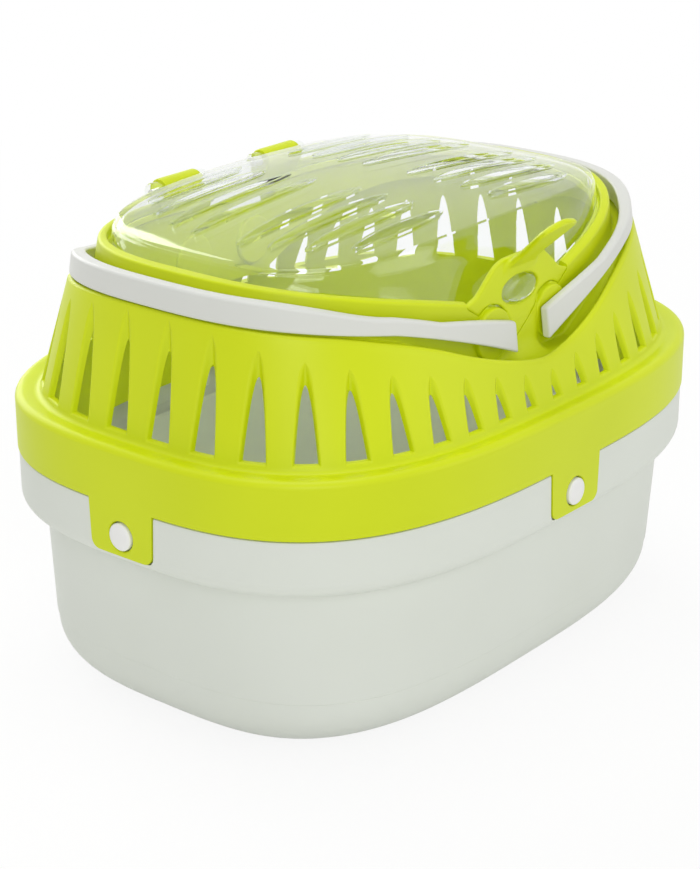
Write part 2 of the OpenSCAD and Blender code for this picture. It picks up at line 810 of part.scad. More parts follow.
module lug_notches() {
    length = lug_length + 2 * ear_gap;
    for (side = [-1, 1])
        translate([side * lug_offset - length / 2, hinge_y, hinge_z]) {
            rotate([0, 90, 0])
                cylinder(r = lug_radius + lug_gap, h = length, $fn = 32);
            translate([0, -lug_radius - lug_gap, -hinge_height])
                cube([length, 2 * (lug_radius + lug_gap), hinge_height]);
        }
}

// The latch boss stops just behind the tongue's inner face
boss_clearance = 1.6;
boss_reach = 3;
boss_share = 0.9;

module latch_boss() {
    front = tongue_face - tongue_thickness - boss_clearance;
    translate([0, -front, hole_z])
        rotate([-90, 0, 0])
            scale([boss_share * hole_width / hole_tall, boss_share, 1])
                cylinder(d = hole_tall, h = boss_reach, $fn = fine);
}

module lid() {
    color(clear, 0.4)
        difference() {
            union() {
                difference() {
                    loft(lid_rings());
                    lug_notches();
                    vents();
                }
                hinge_ears();
                latch_boss();
            }
            translate([-lug_offset - lug_length, hinge_y, hinge_z])
                rotate([0, 90, 0])
                    cylinder(d = ear_bore, h = 2 * (lug_offset + lug_length), $fn = fine);
        }
}

/* Handles */

handle_stations = 30;
band_edge = 1.1;
end_flare = 6.5;
band_lean = top_inset / (arm_height + end_flare);

// Angle at which the handle's outline is at a distance from the middle
function handle_angle(x) = atan2(outline_half_width(handle_low, x) / handle_low[1], x / handle_low[0]);
handle_start = handle_angle(handle_end);
handle_angles = [
    for (k = [handle_stations:-1:-handle_stations])
        let (u = k / handle_stations)
        handle_start * sign(u) * pow(abs(u), 0.9)
];
arm_share = 0.575;
grip_share = 0.805;
tall_from = 0.64;
tall_to = 0.95;
function share_between(x, from, to) = clamp((x / handle_low[0] - from) / (to - from), 0, 1);
function band_height(x) =
    let (plain = blend(arm_height, grip_height, share_between(x, tall_from, tall_to)))
    blend(plain, arm_height + end_flare, toward_end(x, flare_start));
function band_thickness(x) = blend(arm_thickness, grip_thickness, share_between(x, arm_share, grip_share));

// Corners of the band's section, as [step in from the outline, height above the band's foot]
function band_corners(w, h) =
    let (e = band_edge, lean = band_lean)
    [
        [e, 0], [0, e], [lean * (h - e), h - e], [lean * h + e, h],
        [w + lean * h - e, h], [w + lean * (h - e), h - e], [w, e], [w - e, 0]
    ];
function handle_section(t) =
    let (x = outline_point(handle_low, t)[0])
    [
        for (c = band_corners(band_thickness(x), band_height(x)))
            let (p = outline_point(inset(handle_low, c[0]), t))
            [p[0], p[1], handle_bottom(x) + c[1]]
    ];

module handle_right() {
    sections = [for (t = handle_angles) handle_section(t)];
    color(pale_grey)
        difference() {
            loft(sections);
            for (side = [-1, 1])
                translate([pivot_offset, side * (boss_face - cut_extra), pivot_z])
                    rotate([side < 0 ? 90 : -90, 0, 0])
                        cylinder(d = pivot_bore, h = pin_reach + bore_end + cut_extra, $fn = fine);
        }
}

module handle_left() {
    mirror([1, 0, 0])
        handle_right();
}

/* Studs and pins */

// Half section of a stud: its radius, and the depth behind the skirt's outer face
stud_round = 0.8;
stud_barb = 1;
stud_back = cover_wall + rim_gap - 0.1;
barb_start = cover_wall + rim_gap + tub_wall + 0.2;
stud_end = barb_start + 2.3;
stud_section = [
    [0, -stud_proud], [stud_head / 2 - stud_round, -stud_proud],
    [stud_head / 2, stud_round - stud_proud], [stud_head / 2, stud_back],
    [stud_shank / 2, stud_back], [stud_shank / 2, barb_start],
    [stud_shank / 2 + stud_barb, barb_start], [stud_shank / 2 - stud_barb / 2, stud_end],
    [0, stud_end]
];

module tab_stud(place) {
    rotate([0, 0, tab_places[place][0]])
        translate([0, -tab_places[place][1], stud_z])
            rotate([-90, 0, 0])
                color(stud_white)
                    rotate_extrude($fn = fine)
                        polygon(stud_section);
}

module tab_stud_front() {
    tab_stud(0);
}

module tab_stud_right() {
    tab_stud(1);
}

module tab_stud_back() {
    tab_stud(2);
}

module tab_stud_left() {
    tab_stud(3);
}

// A pivot pin sits in its boss and reaches into the handle
module pivot_stud(side_x, side_y) {
    color(stud_white)
        translate([side_x * pivot_offset, side_y * (boss_face - pin_root), pivot_z])
            rotate([side_y < 0 ? 90 : -90, 0, 0])
                cylinder(d = pivot_pin, h = pin_root + pin_reach, $fn = fine);
}

module pivot_pin_front_left() {
    pivot_stud(-1, -1);
}

module pivot_pin_front_right() {
    pivot_stud(1, -1);
}

module pivot_pin_back_left() {
    pivot_stud(-1, 1);
}

module pivot_pin_back_right() {
    pivot_stud(1, 1);
}

module hinge_bar(side) {
    reach = lug_length + 2 * ear_thickness + 2;
    color(stud_white)
        translate([side * lug_offset - reach / 2, hinge_y, hinge_z])
            rotate([0, 90, 0])
                cylinder(d = hinge_pin, h = reach, $fn = fine);
}

module lid_pin_left() {
    hinge_bar(-1);
}

module lid_pin_right() {
    hinge_bar(1);
}

base_tub();
grille_cover();
latch_tongue();
lid();
handle_left();
handle_right();
tab_stud_left();
tab_stud_right();
tab_stud_front();
tab_stud_back();
pivot_pin_front_left();
pivot_pin_front_right();
pivot_pin_back_left();
pivot_pin_back_right();
lid_pin_left();
lid_pin_right();
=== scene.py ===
"""Plastic carrier for small pets, dressed for its photograph.

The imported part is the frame: it gives the bodies that move and the space that
each piece holds. Every class below is one sub-assembly of the carrier. It
keeps its sizes as fields in millimetres, builds its meshes round the frame in
metres, dresses them in its plastic and lets them ride on their bodies.
"""

import logging
import math
from dataclasses import dataclass
from enum import Enum

import bpy
from mathutils import Matrix, Vector


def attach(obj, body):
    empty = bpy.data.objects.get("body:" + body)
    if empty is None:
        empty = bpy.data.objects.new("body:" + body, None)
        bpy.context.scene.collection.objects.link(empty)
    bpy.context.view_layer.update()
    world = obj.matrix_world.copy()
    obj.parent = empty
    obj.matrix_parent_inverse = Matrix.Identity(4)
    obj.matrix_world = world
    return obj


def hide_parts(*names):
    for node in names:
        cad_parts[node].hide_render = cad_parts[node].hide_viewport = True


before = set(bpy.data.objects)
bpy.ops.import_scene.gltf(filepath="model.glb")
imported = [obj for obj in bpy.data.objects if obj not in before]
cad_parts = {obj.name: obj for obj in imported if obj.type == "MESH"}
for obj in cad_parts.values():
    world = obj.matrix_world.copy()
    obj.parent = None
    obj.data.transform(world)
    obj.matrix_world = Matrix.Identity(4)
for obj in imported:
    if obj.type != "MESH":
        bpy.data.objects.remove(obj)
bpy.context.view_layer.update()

logging.basicConfig(level=logging.INFO, format="%(message)s")
log = logging.getLogger("carrier")

MM = 0.001
Point = tuple[float, float, float]
Ring = list[Point]


class Cut(Enum):
    """Ways in which one solid changes another."""

    ADD = "UNION"
    REMOVE = "DIFFERENCE"
    KEEP_COMMON = "INTERSECT"


# ---------------------------------------------------------------- plain curves


def blend(start: float, end: float, share: float) -> float:
    """The value at a share of the way from start to end."""
    return start + (end - start) * share


def clamp(value: float, low: float = 0.0, high: float = 1.0) -> float:
    """The value, held between low and high."""
    return min(high, max(low, value))


def ease(share: float) -> float:
    """A share from 0 to 1 that starts and ends softly."""
    held = clamp(share)
    return held * held * (3 - 2 * held)


def smooth_min(a: float, b: float, blend_over: float) -> float:
    """The lesser of two values, rounded where they cross."""
    held = max(blend_over - abs(a - b), 0.0) / blend_over
    return min(a, b) - held * held * blend_over / 4


def smooth_line(points: list[tuple[float, float]], steps: int) -> list[tuple[float, float]]:
    """Rounds a broken line with a curve through its points.

    Args:
        points: The corners of the line.
        steps: Points on each stretch between two corners.

    Returns:
        The points of the curve, the two ends included.
    """
    line = []
    last = len(points) - 1
    for i in range(last):
        before, here = points[max(0, i - 1)], points[i]
        there, after = points[i + 1], points[min(last, i + 2)]
        for k in range(steps):
            u = k / steps
            line.append(
                tuple(
                    0.5 * (2 * b + (c - a) * u + (2 * a - 5 * b + 4 * c - d) * u**2 + (3 * b - a - 3 * c + d) * u**3)
                    for a, b, c, d in zip(before, here, there, after)
                )
            )
    line.append(points[last])
    return line


@dataclass(frozen=True)
class Outline:
    """Rounded outline seen from above, round the middle of the carrier."""

    half_length: float
    half_width: float
    squareness: float

    def point(self, angle: float) -> tuple[float, float]:
        """The outline's point at an angle in radians."""
        c, s = math.cos(angle), math.sin(angle)
        n = self.squareness
        reach = (abs(c) ** n + abs(s) ** n) ** (-1 / n)
        return self.half_length * reach * c, self.half_width * reach * s

    def half_width_at(self, x: float) -> float:
        """Half the width at a distance from the middle."""
        share = min(1.0, abs(x) / self.half_length)
        return self.half_width * (1 - share**self.squareness) ** (1 / self.squareness)

    def inset(self, step: float) -> "Outline":
        """The outline, drawn in by a step."""
        return Outline(self.half_length - step, self.half_width - step, self.squareness)

    def toward(self, other: "Outline", share: float) -> "Outline":
        """The outline at a share of the way to another."""
        return Outline(
            blend(self.half_length, other.half_length, share),
            blend(self.half_width, other.half_width, share),
            blend(self.squareness, other.squareness, share),
        )

    def depth_along(self, start: Vector, direction: Vector) -> float:
        """How far a point moves along a direction to meet the outline.

        Args:
            start: A point near the outline.
            direction: The way out, as a unit vector.

        Returns:
            The distance in millimetres, negative where it is further in.
        """
        low, high = -40.0, 20.0
        for _ in range(28):
            middle = (low + high) / 2
            p = start + direction * middle
            filled = (abs(p.x) / self.half_length) ** self.squareness
            filled += (abs(p.y) / self.half_width) ** self.squareness
            if filled < 1:
                low = middle
            else:
                high = middle
        return (low + high) / 2


@dataclass(frozen=True)
class CarrierForm:
    """Sizes and lines that several pieces of the carrier share, in millimetres."""

    skirt: Outline = Outline(150.0, 112.3, 2.96)
    skirt_low: float = 101.0
    skirt_top: float = 125.0
    foot: Outline = Outline(139.5, 102.5, 3.0)
    foot_z: float = 126.5
    collar: Outline = Outline(118.5, 81.5, 2.7)
    collar_high: float = 189.5
    handle: Outline = Outline(130.5, 90.0, 2.8)
    seat: Outline = Outline(113.0, 77.5, 2.9)
    lid_rim: Outline = Outline(112.3, 76.8, 2.9)
    cover_wall: float = 2.4
    pivot_x: float = 20.0
    pivot_z: float = 155.0
    boss_face: float = 84.13
    boss_radius: float = 11.0
    hole_z: float = 169.3
    notch_z: float = 169.5
    tongue_top: float = 183.0
    hinge_y: float = 75.8
    hinge_z: float = 191.5
    lug_x: float = 32.5
    lug_length: float = 23.0
    stud_z: float = 88.3
    tab_half: float = 17.0
    tab_low: float = 80.0
    slots_per_quarter: float = 10.5
    handle_end: float = 11.0
    flare_start: float = 56.0
    drop_start: float = 80.0
    end_drop: float = 10.3

    def wall(self, z: float) -> Outline:
        """Outer face of the grille's wall at a height."""
        rise = z - self.foot_z
        return Outline(139.5 - 0.19 * rise, 102.5 - 0.33 * rise, 3.0)

    def collar_at(self, z: float) -> Outline:
        """Outer face of the collar at a height."""
        drop = self.collar_high - z
        return Outline(118.5 + 0.3 * drop, 81.5 + 0.03 * drop, 2.7)

    def arm_line(self, x: float) -> float:
        """Height of the line that the handles' arms follow."""
        return 153.0 + 24.4 * min(1.0, abs(x) / 130.5) ** 0.8

    def toward_end(self, x: float, start: float) -> float:
        """Share of the way along a handle from a distance x to the handle's end."""
        return clamp((start - abs(x)) / (start - self.handle_end))

    def lip(self, x: float) -> float:
        """Height of the pocket's lip: it dips beside the latch and keeps under the handles' arms."""
        under_arm = self.arm_line(x) - 0.6 - 3.4 * ease((105 - abs(x)) / 45)
        return smooth_min(143.3 + 0.0376 * abs(x) ** 1.5, under_arm, 3.0)

    def pocket(self, x: float) -> float:
        """Height of the pocket's floor, low enough for the handles' ends to swing."""
        return min(self.lip(x) - 1.5, self.pivot_z - 13.2 + 0.5 * max(0.0, abs(x) - 30))

    def collar_top(self, x: float, y: float) -> float:
        """Height of the collar's top, lowest beside the latch."""
        low = 32.5 if y < 0 else 58.0
        return self.skirt_top + blend(low, 64.5, min(1.0, abs(x) / 118.5) ** 0.7)

    def panel(self, x: float, z: float) -> float:
        """How far the middle panel swells out between the two pairs of handle ends."""
        return 1.55 * ease((15 - abs(x)) / 6) * ease((166 - z) / 8)

    def along_quarter(self, shares: list[float]) -> list[float]:
        """Angles at shares of the way along the foot, from the middle of an end to that of a side.

        Args:
            shares: Rising shares, from 0 to 1.

        Returns:
            The angle at each share, in radians.
        """
        fine = 900
        walked = [0.0]
        place = self.foot.point(0.0)
        for k in range(1, fine + 1):
            there = self.foot.point(math.pi / 2 * k / fine)
            walked.append(walked[-1] + math.dist(place, there))
            place = there
        found = []
        k = 0
        for share in shares:
            goal = walked[-1] * share
            while k < fine - 1 and walked[k + 1] < goal:
                k += 1
            part = (goal - walked[k]) / (walked[k + 1] - walked[k])
            found.append(math.pi / 2 * (k + part) / fine)
        return found

    def angles(self, count: int) -> list[float]:
        """Angles of stations round the carrier, evenly spaced along the grille's foot.

        Args:
            count: The number of stations, a multiple of 4.

        Returns:
            The angles in radians, anticlockwise from +X.
        """
        quarter = count // 4
        first = self.along_quarter([j / quarter for j in range(quarter + 1)])
        turns = []
        for j in range(count):
            q, r = divmod(j, quarter)
            turns.append(math.pi / 2 * q + first[r] if q % 2 == 0 else math.pi / 2 * (q + 1) - first[quarter - r])
        return turns


FORM = CarrierForm()


# ------------------------------------------------------------- modelling tools


def deselect_all() -> None:
    """Leaves edit mode and deselects everything."""
    if bpy.context.object and bpy.context.object.mode != "OBJECT":
        bpy.ops.object.mode_set(mode="OBJECT")
    bpy.ops.object.select_all(action="DESELECT")


def take(piece: bpy.types.Object) -> bpy.types.Object:
    """Makes a piece the only selected and the active one, and returns it."""
    deselect_all()
    piece.select_set(True)
    bpy.context.view_layer.objects.active = piece
    return piece


def select_where(piece: bpy.types.Object, wanted) -> None:
    """Selects a piece's vertices by their place, and enters edit mode.

    Args:
        piece: The mesh to select in.
        wanted: Called with a vertex's place; true where it is selected.
    """
    take(piece)
    mesh = piece.data
    mesh.polygons.foreach_set("select", [False] * len(mesh.polygons))
    mesh.edges.foreach_set("select", [False] * len(mesh.edges))
    mesh.vertices.foreach_set("select", [bool(wanted(v.co)) for v in mesh.vertices])
    bpy.ops.object.mode_set(mode="EDIT")
    bpy.ops.mesh.select_mode(type="VERT")


def loft(name: str, rings: list[Ring], closed: bool = False) -> bpy.types.Object:
    """Skins rings of points, by extruding a circle once for each ring.

    Args:
        name: Name of the new piece.
        rings: The rings in millimetres, all of one length.
        closed: True where the last ring meets the first, else the ends are capped.

    Returns:
        The skinned mesh, with its faces outwards.
    """
    if closed:
        rings = rings + [rings[0]]
    count, last = len(rings[0]), len(rings) - 1
    deselect_all()
    bpy.ops.mesh.primitive_circle_add(vertices=count, radius=1.0, fill_type="NOTHING", location=(0, 0, 0))
    piece = bpy.context.object
    piece.name = piece.data.name = name
    bpy.ops.object.mode_set(mode="EDIT")
    bpy.ops.mesh.select_mode(type="VERT")
    bpy.ops.mesh.select_all(action="SELECT")
    for _ in range(last):
        bpy.ops.mesh.extrude_region_move(TRANSFORM_OT_translate={"value": (0, 0, 1)})
    if not closed:
        bpy.ops.mesh.edge_face_add()
        bpy.ops.object.mode_set(mode="OBJECT")
        select_where(piece, lambda co: co.z < 0.5)
        bpy.ops.mesh.edge_face_add()
    bpy.ops.object.mode_set(mode="OBJECT")
    step = 2 * math.pi / count
    for vertex in piece.data.vertices:
        ring = rings[round(vertex.co.z)]
        x, y, z = ring[round(math.atan2(vertex.co.y, vertex.co.x) / step) % count]
        vertex.co = (x * MM, y * MM, z * MM)
    tidy_mesh(piece)
    return piece


def tidy_mesh(piece: bpy.types.Object, merge: float = 0.002) -> None:
    """Merges doubles that are closer than a distance in millimetres, and turns all faces outwards."""
    take(piece)
    bpy.ops.object.mode_set(mode="EDIT")
    bpy.ops.mesh.select_all(action="SELECT")
    bpy.ops.mesh.remove_doubles(threshold=merge * MM)
    bpy.ops.mesh.normals_make_consistent(inside=False)
    bpy.ops.object.mode_set(mode="OBJECT")


def place(piece: bpy.types.Object, matrix: Matrix) -> bpy.types.Object:
    """Moves a piece's mesh, so that its object stays at the origin.

    Args:
        piece: The piece to move.
        matrix: The move, in metres.

    Returns:
        The piece.
    """
    take(piece)
    piece.matrix_world = matrix
    bpy.ops.object.transform_apply(location=True, rotation=True, scale=True)
    if matrix.determinant() < 0:
        tidy_mesh(piece)
    return piece


def copy_of(piece: bpy.types.Object, name: str, matrix: Matrix) -> bpy.types.Object:
    """A copy of a piece with its own mesh, moved by a matrix."""
    take(piece)
    bpy.ops.object.duplicate(linked=False)
    twin = bpy.context.object
    twin.name = twin.data.name = name
    return place(twin, matrix)


def joined(pieces: list[bpy.types.Object]) -> bpy.types.Object:
    """Joins pieces into the first, and returns it."""
    take(pieces[0])
    for piece in pieces[1:]:
        piece.select_set(True)
    bpy.ops.object.join()
    return bpy.context.object


def combine(piece: bpy.types.Object, tool: bpy.types.Object, how: Cut, keep: bool = False) -> None:
    """Adds or removes one solid from another.

    Args:
        piece: The solid that changes.
        tool: The solid that is added or removed.
        how: What the tool does.
        keep: True where the tool is used again.
    """
    take(piece)
    change = piece.modifiers.new("Combine", "BOOLEAN")
    change.operation = how.value
    change.solver = "MANIFOLD"
    change.object = tool
    bpy.ops.object.modifier_apply(modifier=change.name)
    if not keep:
        bpy.data.objects.remove(tool)


def round_edges(piece: bpy.types.Object, width: float, sharper_than: float = 40, segments: int = 3) -> None:
    """Rounds a piece's sharp edges.

    Args:
        piece: The piece.
        width: Width of the rounding in millimetres.
        sharper_than: Least angle between two faces, in degrees.
        segments: Faces across the rounding.
    """
    take(piece)
    bevel = piece.modifiers.new("Rounded edges", "BEVEL")
    bevel.width = width * MM
    bevel.segments = segments
    bevel.limit_method = "ANGLE"
    bevel.angle_limit = math.radians(sharper_than)
    bpy.ops.object.modifier_apply(modifier=bevel.name)


def soften(piece: bpy.types.Object, grain: float, passes: int) -> None:
    """Rounds and blends all edges of a small moulded piece, as a mould's radii do.

    Args:
        piece: The piece.
        grain: Size of the new faces in millimetres.
        passes: How often the surface is smoothed.
    """
    take(piece)
    remesh = piece.modifiers.new("Even skin", "REMESH")
    remesh.mode = "VOXEL"
    remesh.voxel_size = grain * MM
    bpy.ops.object.modifier_apply(modifier=remesh.name)
    smooth = piece.modifiers.new("Mould radii", "SMOOTH")
    smooth.factor = 0.5
    smooth.iterations = passes
    bpy.ops.object.modifier_apply(modifier=smooth.name)


def shade(piece: bpy.types.Object, crease: float = 32) -> None:
    """Shades a piece smoothly, except at creases sharper than an angle in degrees."""
    take(piece)
    bpy.ops.object.shade_smooth_by_angle(angle=math.radians(crease))
    weighted = piece.modifiers.new("Face weighted normals", "WEIGHTED_NORMAL")
    weighted.keep_sharp = True
    bpy.ops.object.modifier_apply(modifier=weighted.name)


def prism(name: str, outline: list[tuple[float, float]], low: float, high: float) -> bpy.types.Object:
    """A straight block with an upright outline, given as (x, z), that runs along Y from low to high."""
    return loft(name, [[(x, y, z) for x, z in outline] for y in (low, high)])


def dress(piece: bpy.types.Object, material: bpy.types.Material) -> None:
    """Gives a piece its plastic."""
    piece.data.materials.clear()
    piece.data.materials.append(material)


# -------------------------------------------------------------------- plastics


def linear(hex_colour: str) -> tuple[float, float, float, float]:
    """An sRGB hex colour as linear values with full alpha."""
    values = [int(hex_colour[i : i + 2], 16) / 255 for i in (1, 3, 5)]
    return (*[v / 12.92 if v <= 0.04045 else ((v + 0.055) / 1.055) ** 2.4 for v in values], 1.0)


def add_node(tree: bpy.types.NodeTree, kind: str, settings: dict, links: dict) -> bpy.types.Node:
    """Adds a node to a material.

    Args:
        tree: The material's or world's nodes.
        kind: Blender's name for the node.
        settings: Values by the name of a property, or the name or index of an input.
        links: Output sockets by the name or index of the input that they feed.

    Returns:
        The new node.
    """
    node = tree.nodes.new(kind)
    for name, value in settings.items():
        if isinstance(name, int) or name in node.inputs:
            node.inputs[name].default_value = value
        else:
            setattr(node, name, value)
    for name, socket in links.items():
        tree.links.new(socket, node.inputs[name])
    return node


def seen_rays(tree: bpy.types.NodeTree) -> bpy.types.NodeSocket:
    """A share of 1 for rays that show a surface to the eye, straight, mirrored or through the lid."""
    rays = add_node(tree, "ShaderNodeLightPath", {}, {}).outputs
    greater = {"operation": "MAXIMUM"}
    first = add_node(tree, "ShaderNodeMath", greater, {0: rays["Is Camera Ray"], 1: rays["Is Glossy Ray"]})
    both = add_node(tree, "ShaderNodeMath", greater, {0: first.outputs[0], 1: rays["Is Transmission Ray"]})
    return both.outputs[0]


@dataclass(frozen=True)
class SatinPolypropylene:
    """Moulded polypropylene with a fine satin texture.

    Its spark-eroded mould leaves a soft sheen and a grain under half a
    millimetre; the thick walls look a shade deeper than the thin ones.
    """

    name: str
    colour: str
    deep_colour: str
    roughness: float
    grain: float = 0.7
    grain_depth: float = 0.02
    flow: float = 70.0

    def material(self) -> bpy.types.Material:
        """Builds the plastic."""
        made = bpy.data.materials.new(self.name)
        made.use_nodes = True
        tree = made.node_tree
        tree.nodes.clear()
        place_on = add_node(tree, "ShaderNodeTexCoord", {}, {}).outputs["Object"]
        # Faint flow of the melt: large soft patches of a slightly deeper colour
        patches = add_node(
            tree, "ShaderNodeTexNoise", {"Scale": 1 / (self.flow * MM), "Detail": 2.0}, {"Vector": place_on}
        )
        share = add_node(
            tree,
            "ShaderNodeMapRange",
            {"From Min": 0.35, "From Max": 0.7, "To Min": 0.0, "To Max": 0.5},
            {"Value": patches.outputs["Fac"]},
        )
        colour = add_node(
            tree,
            "ShaderNodeMix",
            {"data_type": "RGBA", 6: linear(self.colour), 7: linear(self.deep_colour)},
            {0: share.outputs["Result"]},
        )
        # The mould's grain, drawn a little coarser than the real 0.3 mm so that it shows
        grain = add_node(
            tree, "ShaderNodeTexNoise", {"Scale": 1 / (self.grain * MM), "Detail": 3.0}, {"Vector": place_on}
        )
        worn = add_node(
            tree,
            "ShaderNodeMapRange",
            {"To Min": self.roughness - 0.05, "To Max": self.roughness + 0.06},
            {"Value": grain.outputs["Fac"]},
        )
        bump = add_node(
            tree,
            "ShaderNodeBump",
            {"Strength": 0.35, "Distance": self.grain_depth * MM},
            {"Height": grain.outputs["Fac"]},
        )
        shader = add_node(
            tree,
            "ShaderNodeBsdfPrincipled",
            {
                "IOR": 1.49,
                "Specular IOR Level": 0.36,
            },
            {
                "Base Color": colour.outputs[2],
                "Roughness": worn.outputs["Result"],
                "Normal": bump.outputs["Normal"],
            },
        )
        add_node(tree, "ShaderNodeOutputMaterial", {}, {"Surface": shader.outputs["BSDF"]})
        return made


@dataclass(frozen=True)
class ClearPolystyrene:
    """Moulded clear polystyrene: glassy, with a faint ripple from the mould."""

    name: str
    tint: str
    shadow: str
    roughness: float
    ripple: float = 22.0
    ripple_depth: float = 0.05

    def material(self) -> bpy.types.Material:
        """Builds the plastic."""
        made = bpy.data.materials.new(self.name)
        made.use_nodes = True
        tree = made.node_tree
        tree.nodes.clear()
        place_on = add_node(tree, "ShaderNodeTexCoord", {}, {}).outputs["Object"]
        # Long shallow waves, which bend the reflections a little
        waves = add_node(
            tree, "ShaderNodeTexNoise", {"Scale": 1 / (self.ripple * MM), "Detail": 1.0}, {"Vector": place_on}
        )
        bump = add_node(
            tree,
            "ShaderNodeBump",
            {"Strength": 0.5, "Distance": self.ripple_depth * MM},
            {"Height": waves.outputs["Fac"]},
        )
        haze = add_node(
            tree,
            "ShaderNodeMapRange",
            {"To Min": self.roughness * 0.5, "To Max": self.roughness * 1.5},
            {"Value": waves.outputs["Fac"]},
        )
        # A thin wall bends hardly anything that is seen through it, so the body of the
        # plastic is nearly air and the gloss is a coat with the plastic's own index
        shader = add_node(
            tree,
            "ShaderNodeBsdfPrincipled",
            {
                "Base Color": linear(self.tint),
                "IOR": 1.03,
                "Transmission Weight": 1.0,
                "Coat Weight": 1.0,
                "Coat IOR": 1.5,
            },
            {
                "Roughness": haze.outputs["Result"],
                "Coat Roughness": haze.outputs["Result"],
                "Normal": bump.outputs["Normal"],
                "Coat Normal": bump.outputs["Normal"],
            },
        )
        # Lamps shine through it, so that the cabin is lit as under the real lid
        rays = add_node(tree, "ShaderNodeLightPath", {}, {}).outputs
        through = add_node(tree, "ShaderNodeBsdfTransparent", {"Color": linear(self.shadow)}, {})
        mixed = add_node(
            tree,
            "ShaderNodeMixShader",
            {},
            {0: rays["Is Shadow Ray"], 1: shader.outputs["BSDF"], 2: through.outputs["BSDF"]},
        )
        add_node(tree, "ShaderNodeOutputMaterial", {}, {"Surface": mixed.outputs[0]})
        return made


# -------------------------------------------------------------------- the tub


@dataclass
class BaseTub:
    """The tub: a bellied box with a stepped-out shoulder, on which the cover's skirt sits."""

    wall: float = 2.2
    floor: float = 2.4
    floor_radius: float = 22.0
    shoulder: Outline = Outline(149.5, 111.8, 2.96)
    shoulder_low: float = 75.1
    shoulder_radius: float = 7.7
    rim: Outline = Outline(147.0, 109.3, 2.96)
    rim_top: float = 121.7
    body_top: Outline = Outline(136.0, 102.5, 3.3)
    body_low: Outline = Outline(135.0, 95.5, 3.3)
    recess_gap: float = 0.5
    stations: int = 352

    def body(self, z: float) -> Outline:
        """Outer face of the body at a height."""
        return self.body_low.toward(self.body_top, clamp(z / self.shoulder_low))

    def outside(self) -> list[tuple[Outline, float]]:
        """Outlines and heights of the outer face, from the floor up."""
        lines = []
        for k in range(15):
            turn = math.pi / 2 * k / 14
            z = self.floor_radius * (1 - math.cos(turn))
            lines.append((self.body(z).inset(self.floor_radius * (1 - math.sin(turn))), z))
        # A faint step runs round the body just above the curve of the floor
        for z, step in ((25.0, 0.0), (25.4, -0.35), (26.4, -0.4), (40.0, -0.25), (56.0, -0.1), (70.0, 0.0)):
            lines.append((self.body(z).inset(step), z))
        for k in range(1, 7):
            turn = math.pi / 2 * k / 6
            rise = self.shoulder_low - 4 * (1 - math.sin(turn))
            lines.append((self.body_top.toward(self.shoulder.inset(self.shoulder_radius), 1 - math.cos(turn)), rise))
        for k in range(11):
            turn = math.pi / 2 * k / 10
            r = self.shoulder_radius
            lines.append((self.shoulder.inset(r * (1 - math.sin(turn))), self.shoulder_low + r * (1 - math.cos(turn))))
        step_z = FORM.skirt_low - self.recess_gap
        lines += [
            (self.shoulder, 92.0),
            (self.shoulder, step_z - 0.8),
            (self.shoulder.inset(0.2), step_z - 0.25),
            (self.shoulder.inset(0.7), step_z),
            (self.rim, step_z),
            (self.rim, self.rim_top - 0.6),
            (self.rim.inset(0.6), self.rim_top),
        ]
        return lines

    def inside(self) -> list[tuple[Outline, float]]:
        """Outlines and heights of the inner face, from the rim down."""
        lines = [(self.rim.inset(self.wall), self.rim_top), (self.rim.inset(self.wall), 97.0)]
        inner = self.shoulder.inset(self.wall)
        lines.append((inner, 94.8))
        r = self.shoulder_radius - self.wall
        low = self.shoulder_low + self.wall
        for k in range(8, -1, -1):
            turn = math.pi / 2 * k / 8
            lines.append((inner.inset(r * (1 - math.sin(turn))), low + r * (1 - math.cos(turn))))
        lines.append((self.body_top.inset(self.wall - 1), low))
        lines.append((self.body_top.inset(self.wall), low - 1))
        r = self.floor_radius - self.wall
        for k in range(12, -1, -1):
            turn = math.pi / 2 * k / 12
            z = self.floor + r * (1 - math.cos(turn))
            lines.append((self.body(z).inset(self.wall + r * (1 - math.sin(turn))), z))
        return lines

    def build(self) -> bpy.types.Object:
        """Builds the tub with its four tab recesses."""
        turns = FORM.angles(self.stations)
        rings = [[(*o.point(t), z) for t in turns] for o, z in self.outside() + self.inside()]
        tub = loft("base_tub_shell", rings)
        pads = loft(
            "tab_pads",
            [
                [(*o.point(t), z) for t in turns]
                for o, z in (
                    (self.shoulder.inset(1.5), 79.0),
                    (self.shoulder.inset(1.5), 100.0),
                    (self.rim.inset(self.wall), 100.0),
                    (self.rim.inset(self.wall), 79.0),
                )
            ],
            closed=True,
        )
        combine(pads, TabPlates(grow=2.2, reach=12.0).blocks("pad_bounds", 0.0), Cut.KEEP_COMMON)
        combine(tub, pads, Cut.ADD)
        recess = TabPlates(grow=self.recess_gap, reach=4.0).blocks("recess_blocks", -1.0)
        core = loft(
            "recess_core", [[(*self.rim.point(t), z) for t in turns] for z in (60.0, FORM.skirt_low)]
        )
        combine(recess, core, Cut.REMOVE)
        combine(tub, recess, Cut.REMOVE)
        shade(tub)
        return tub


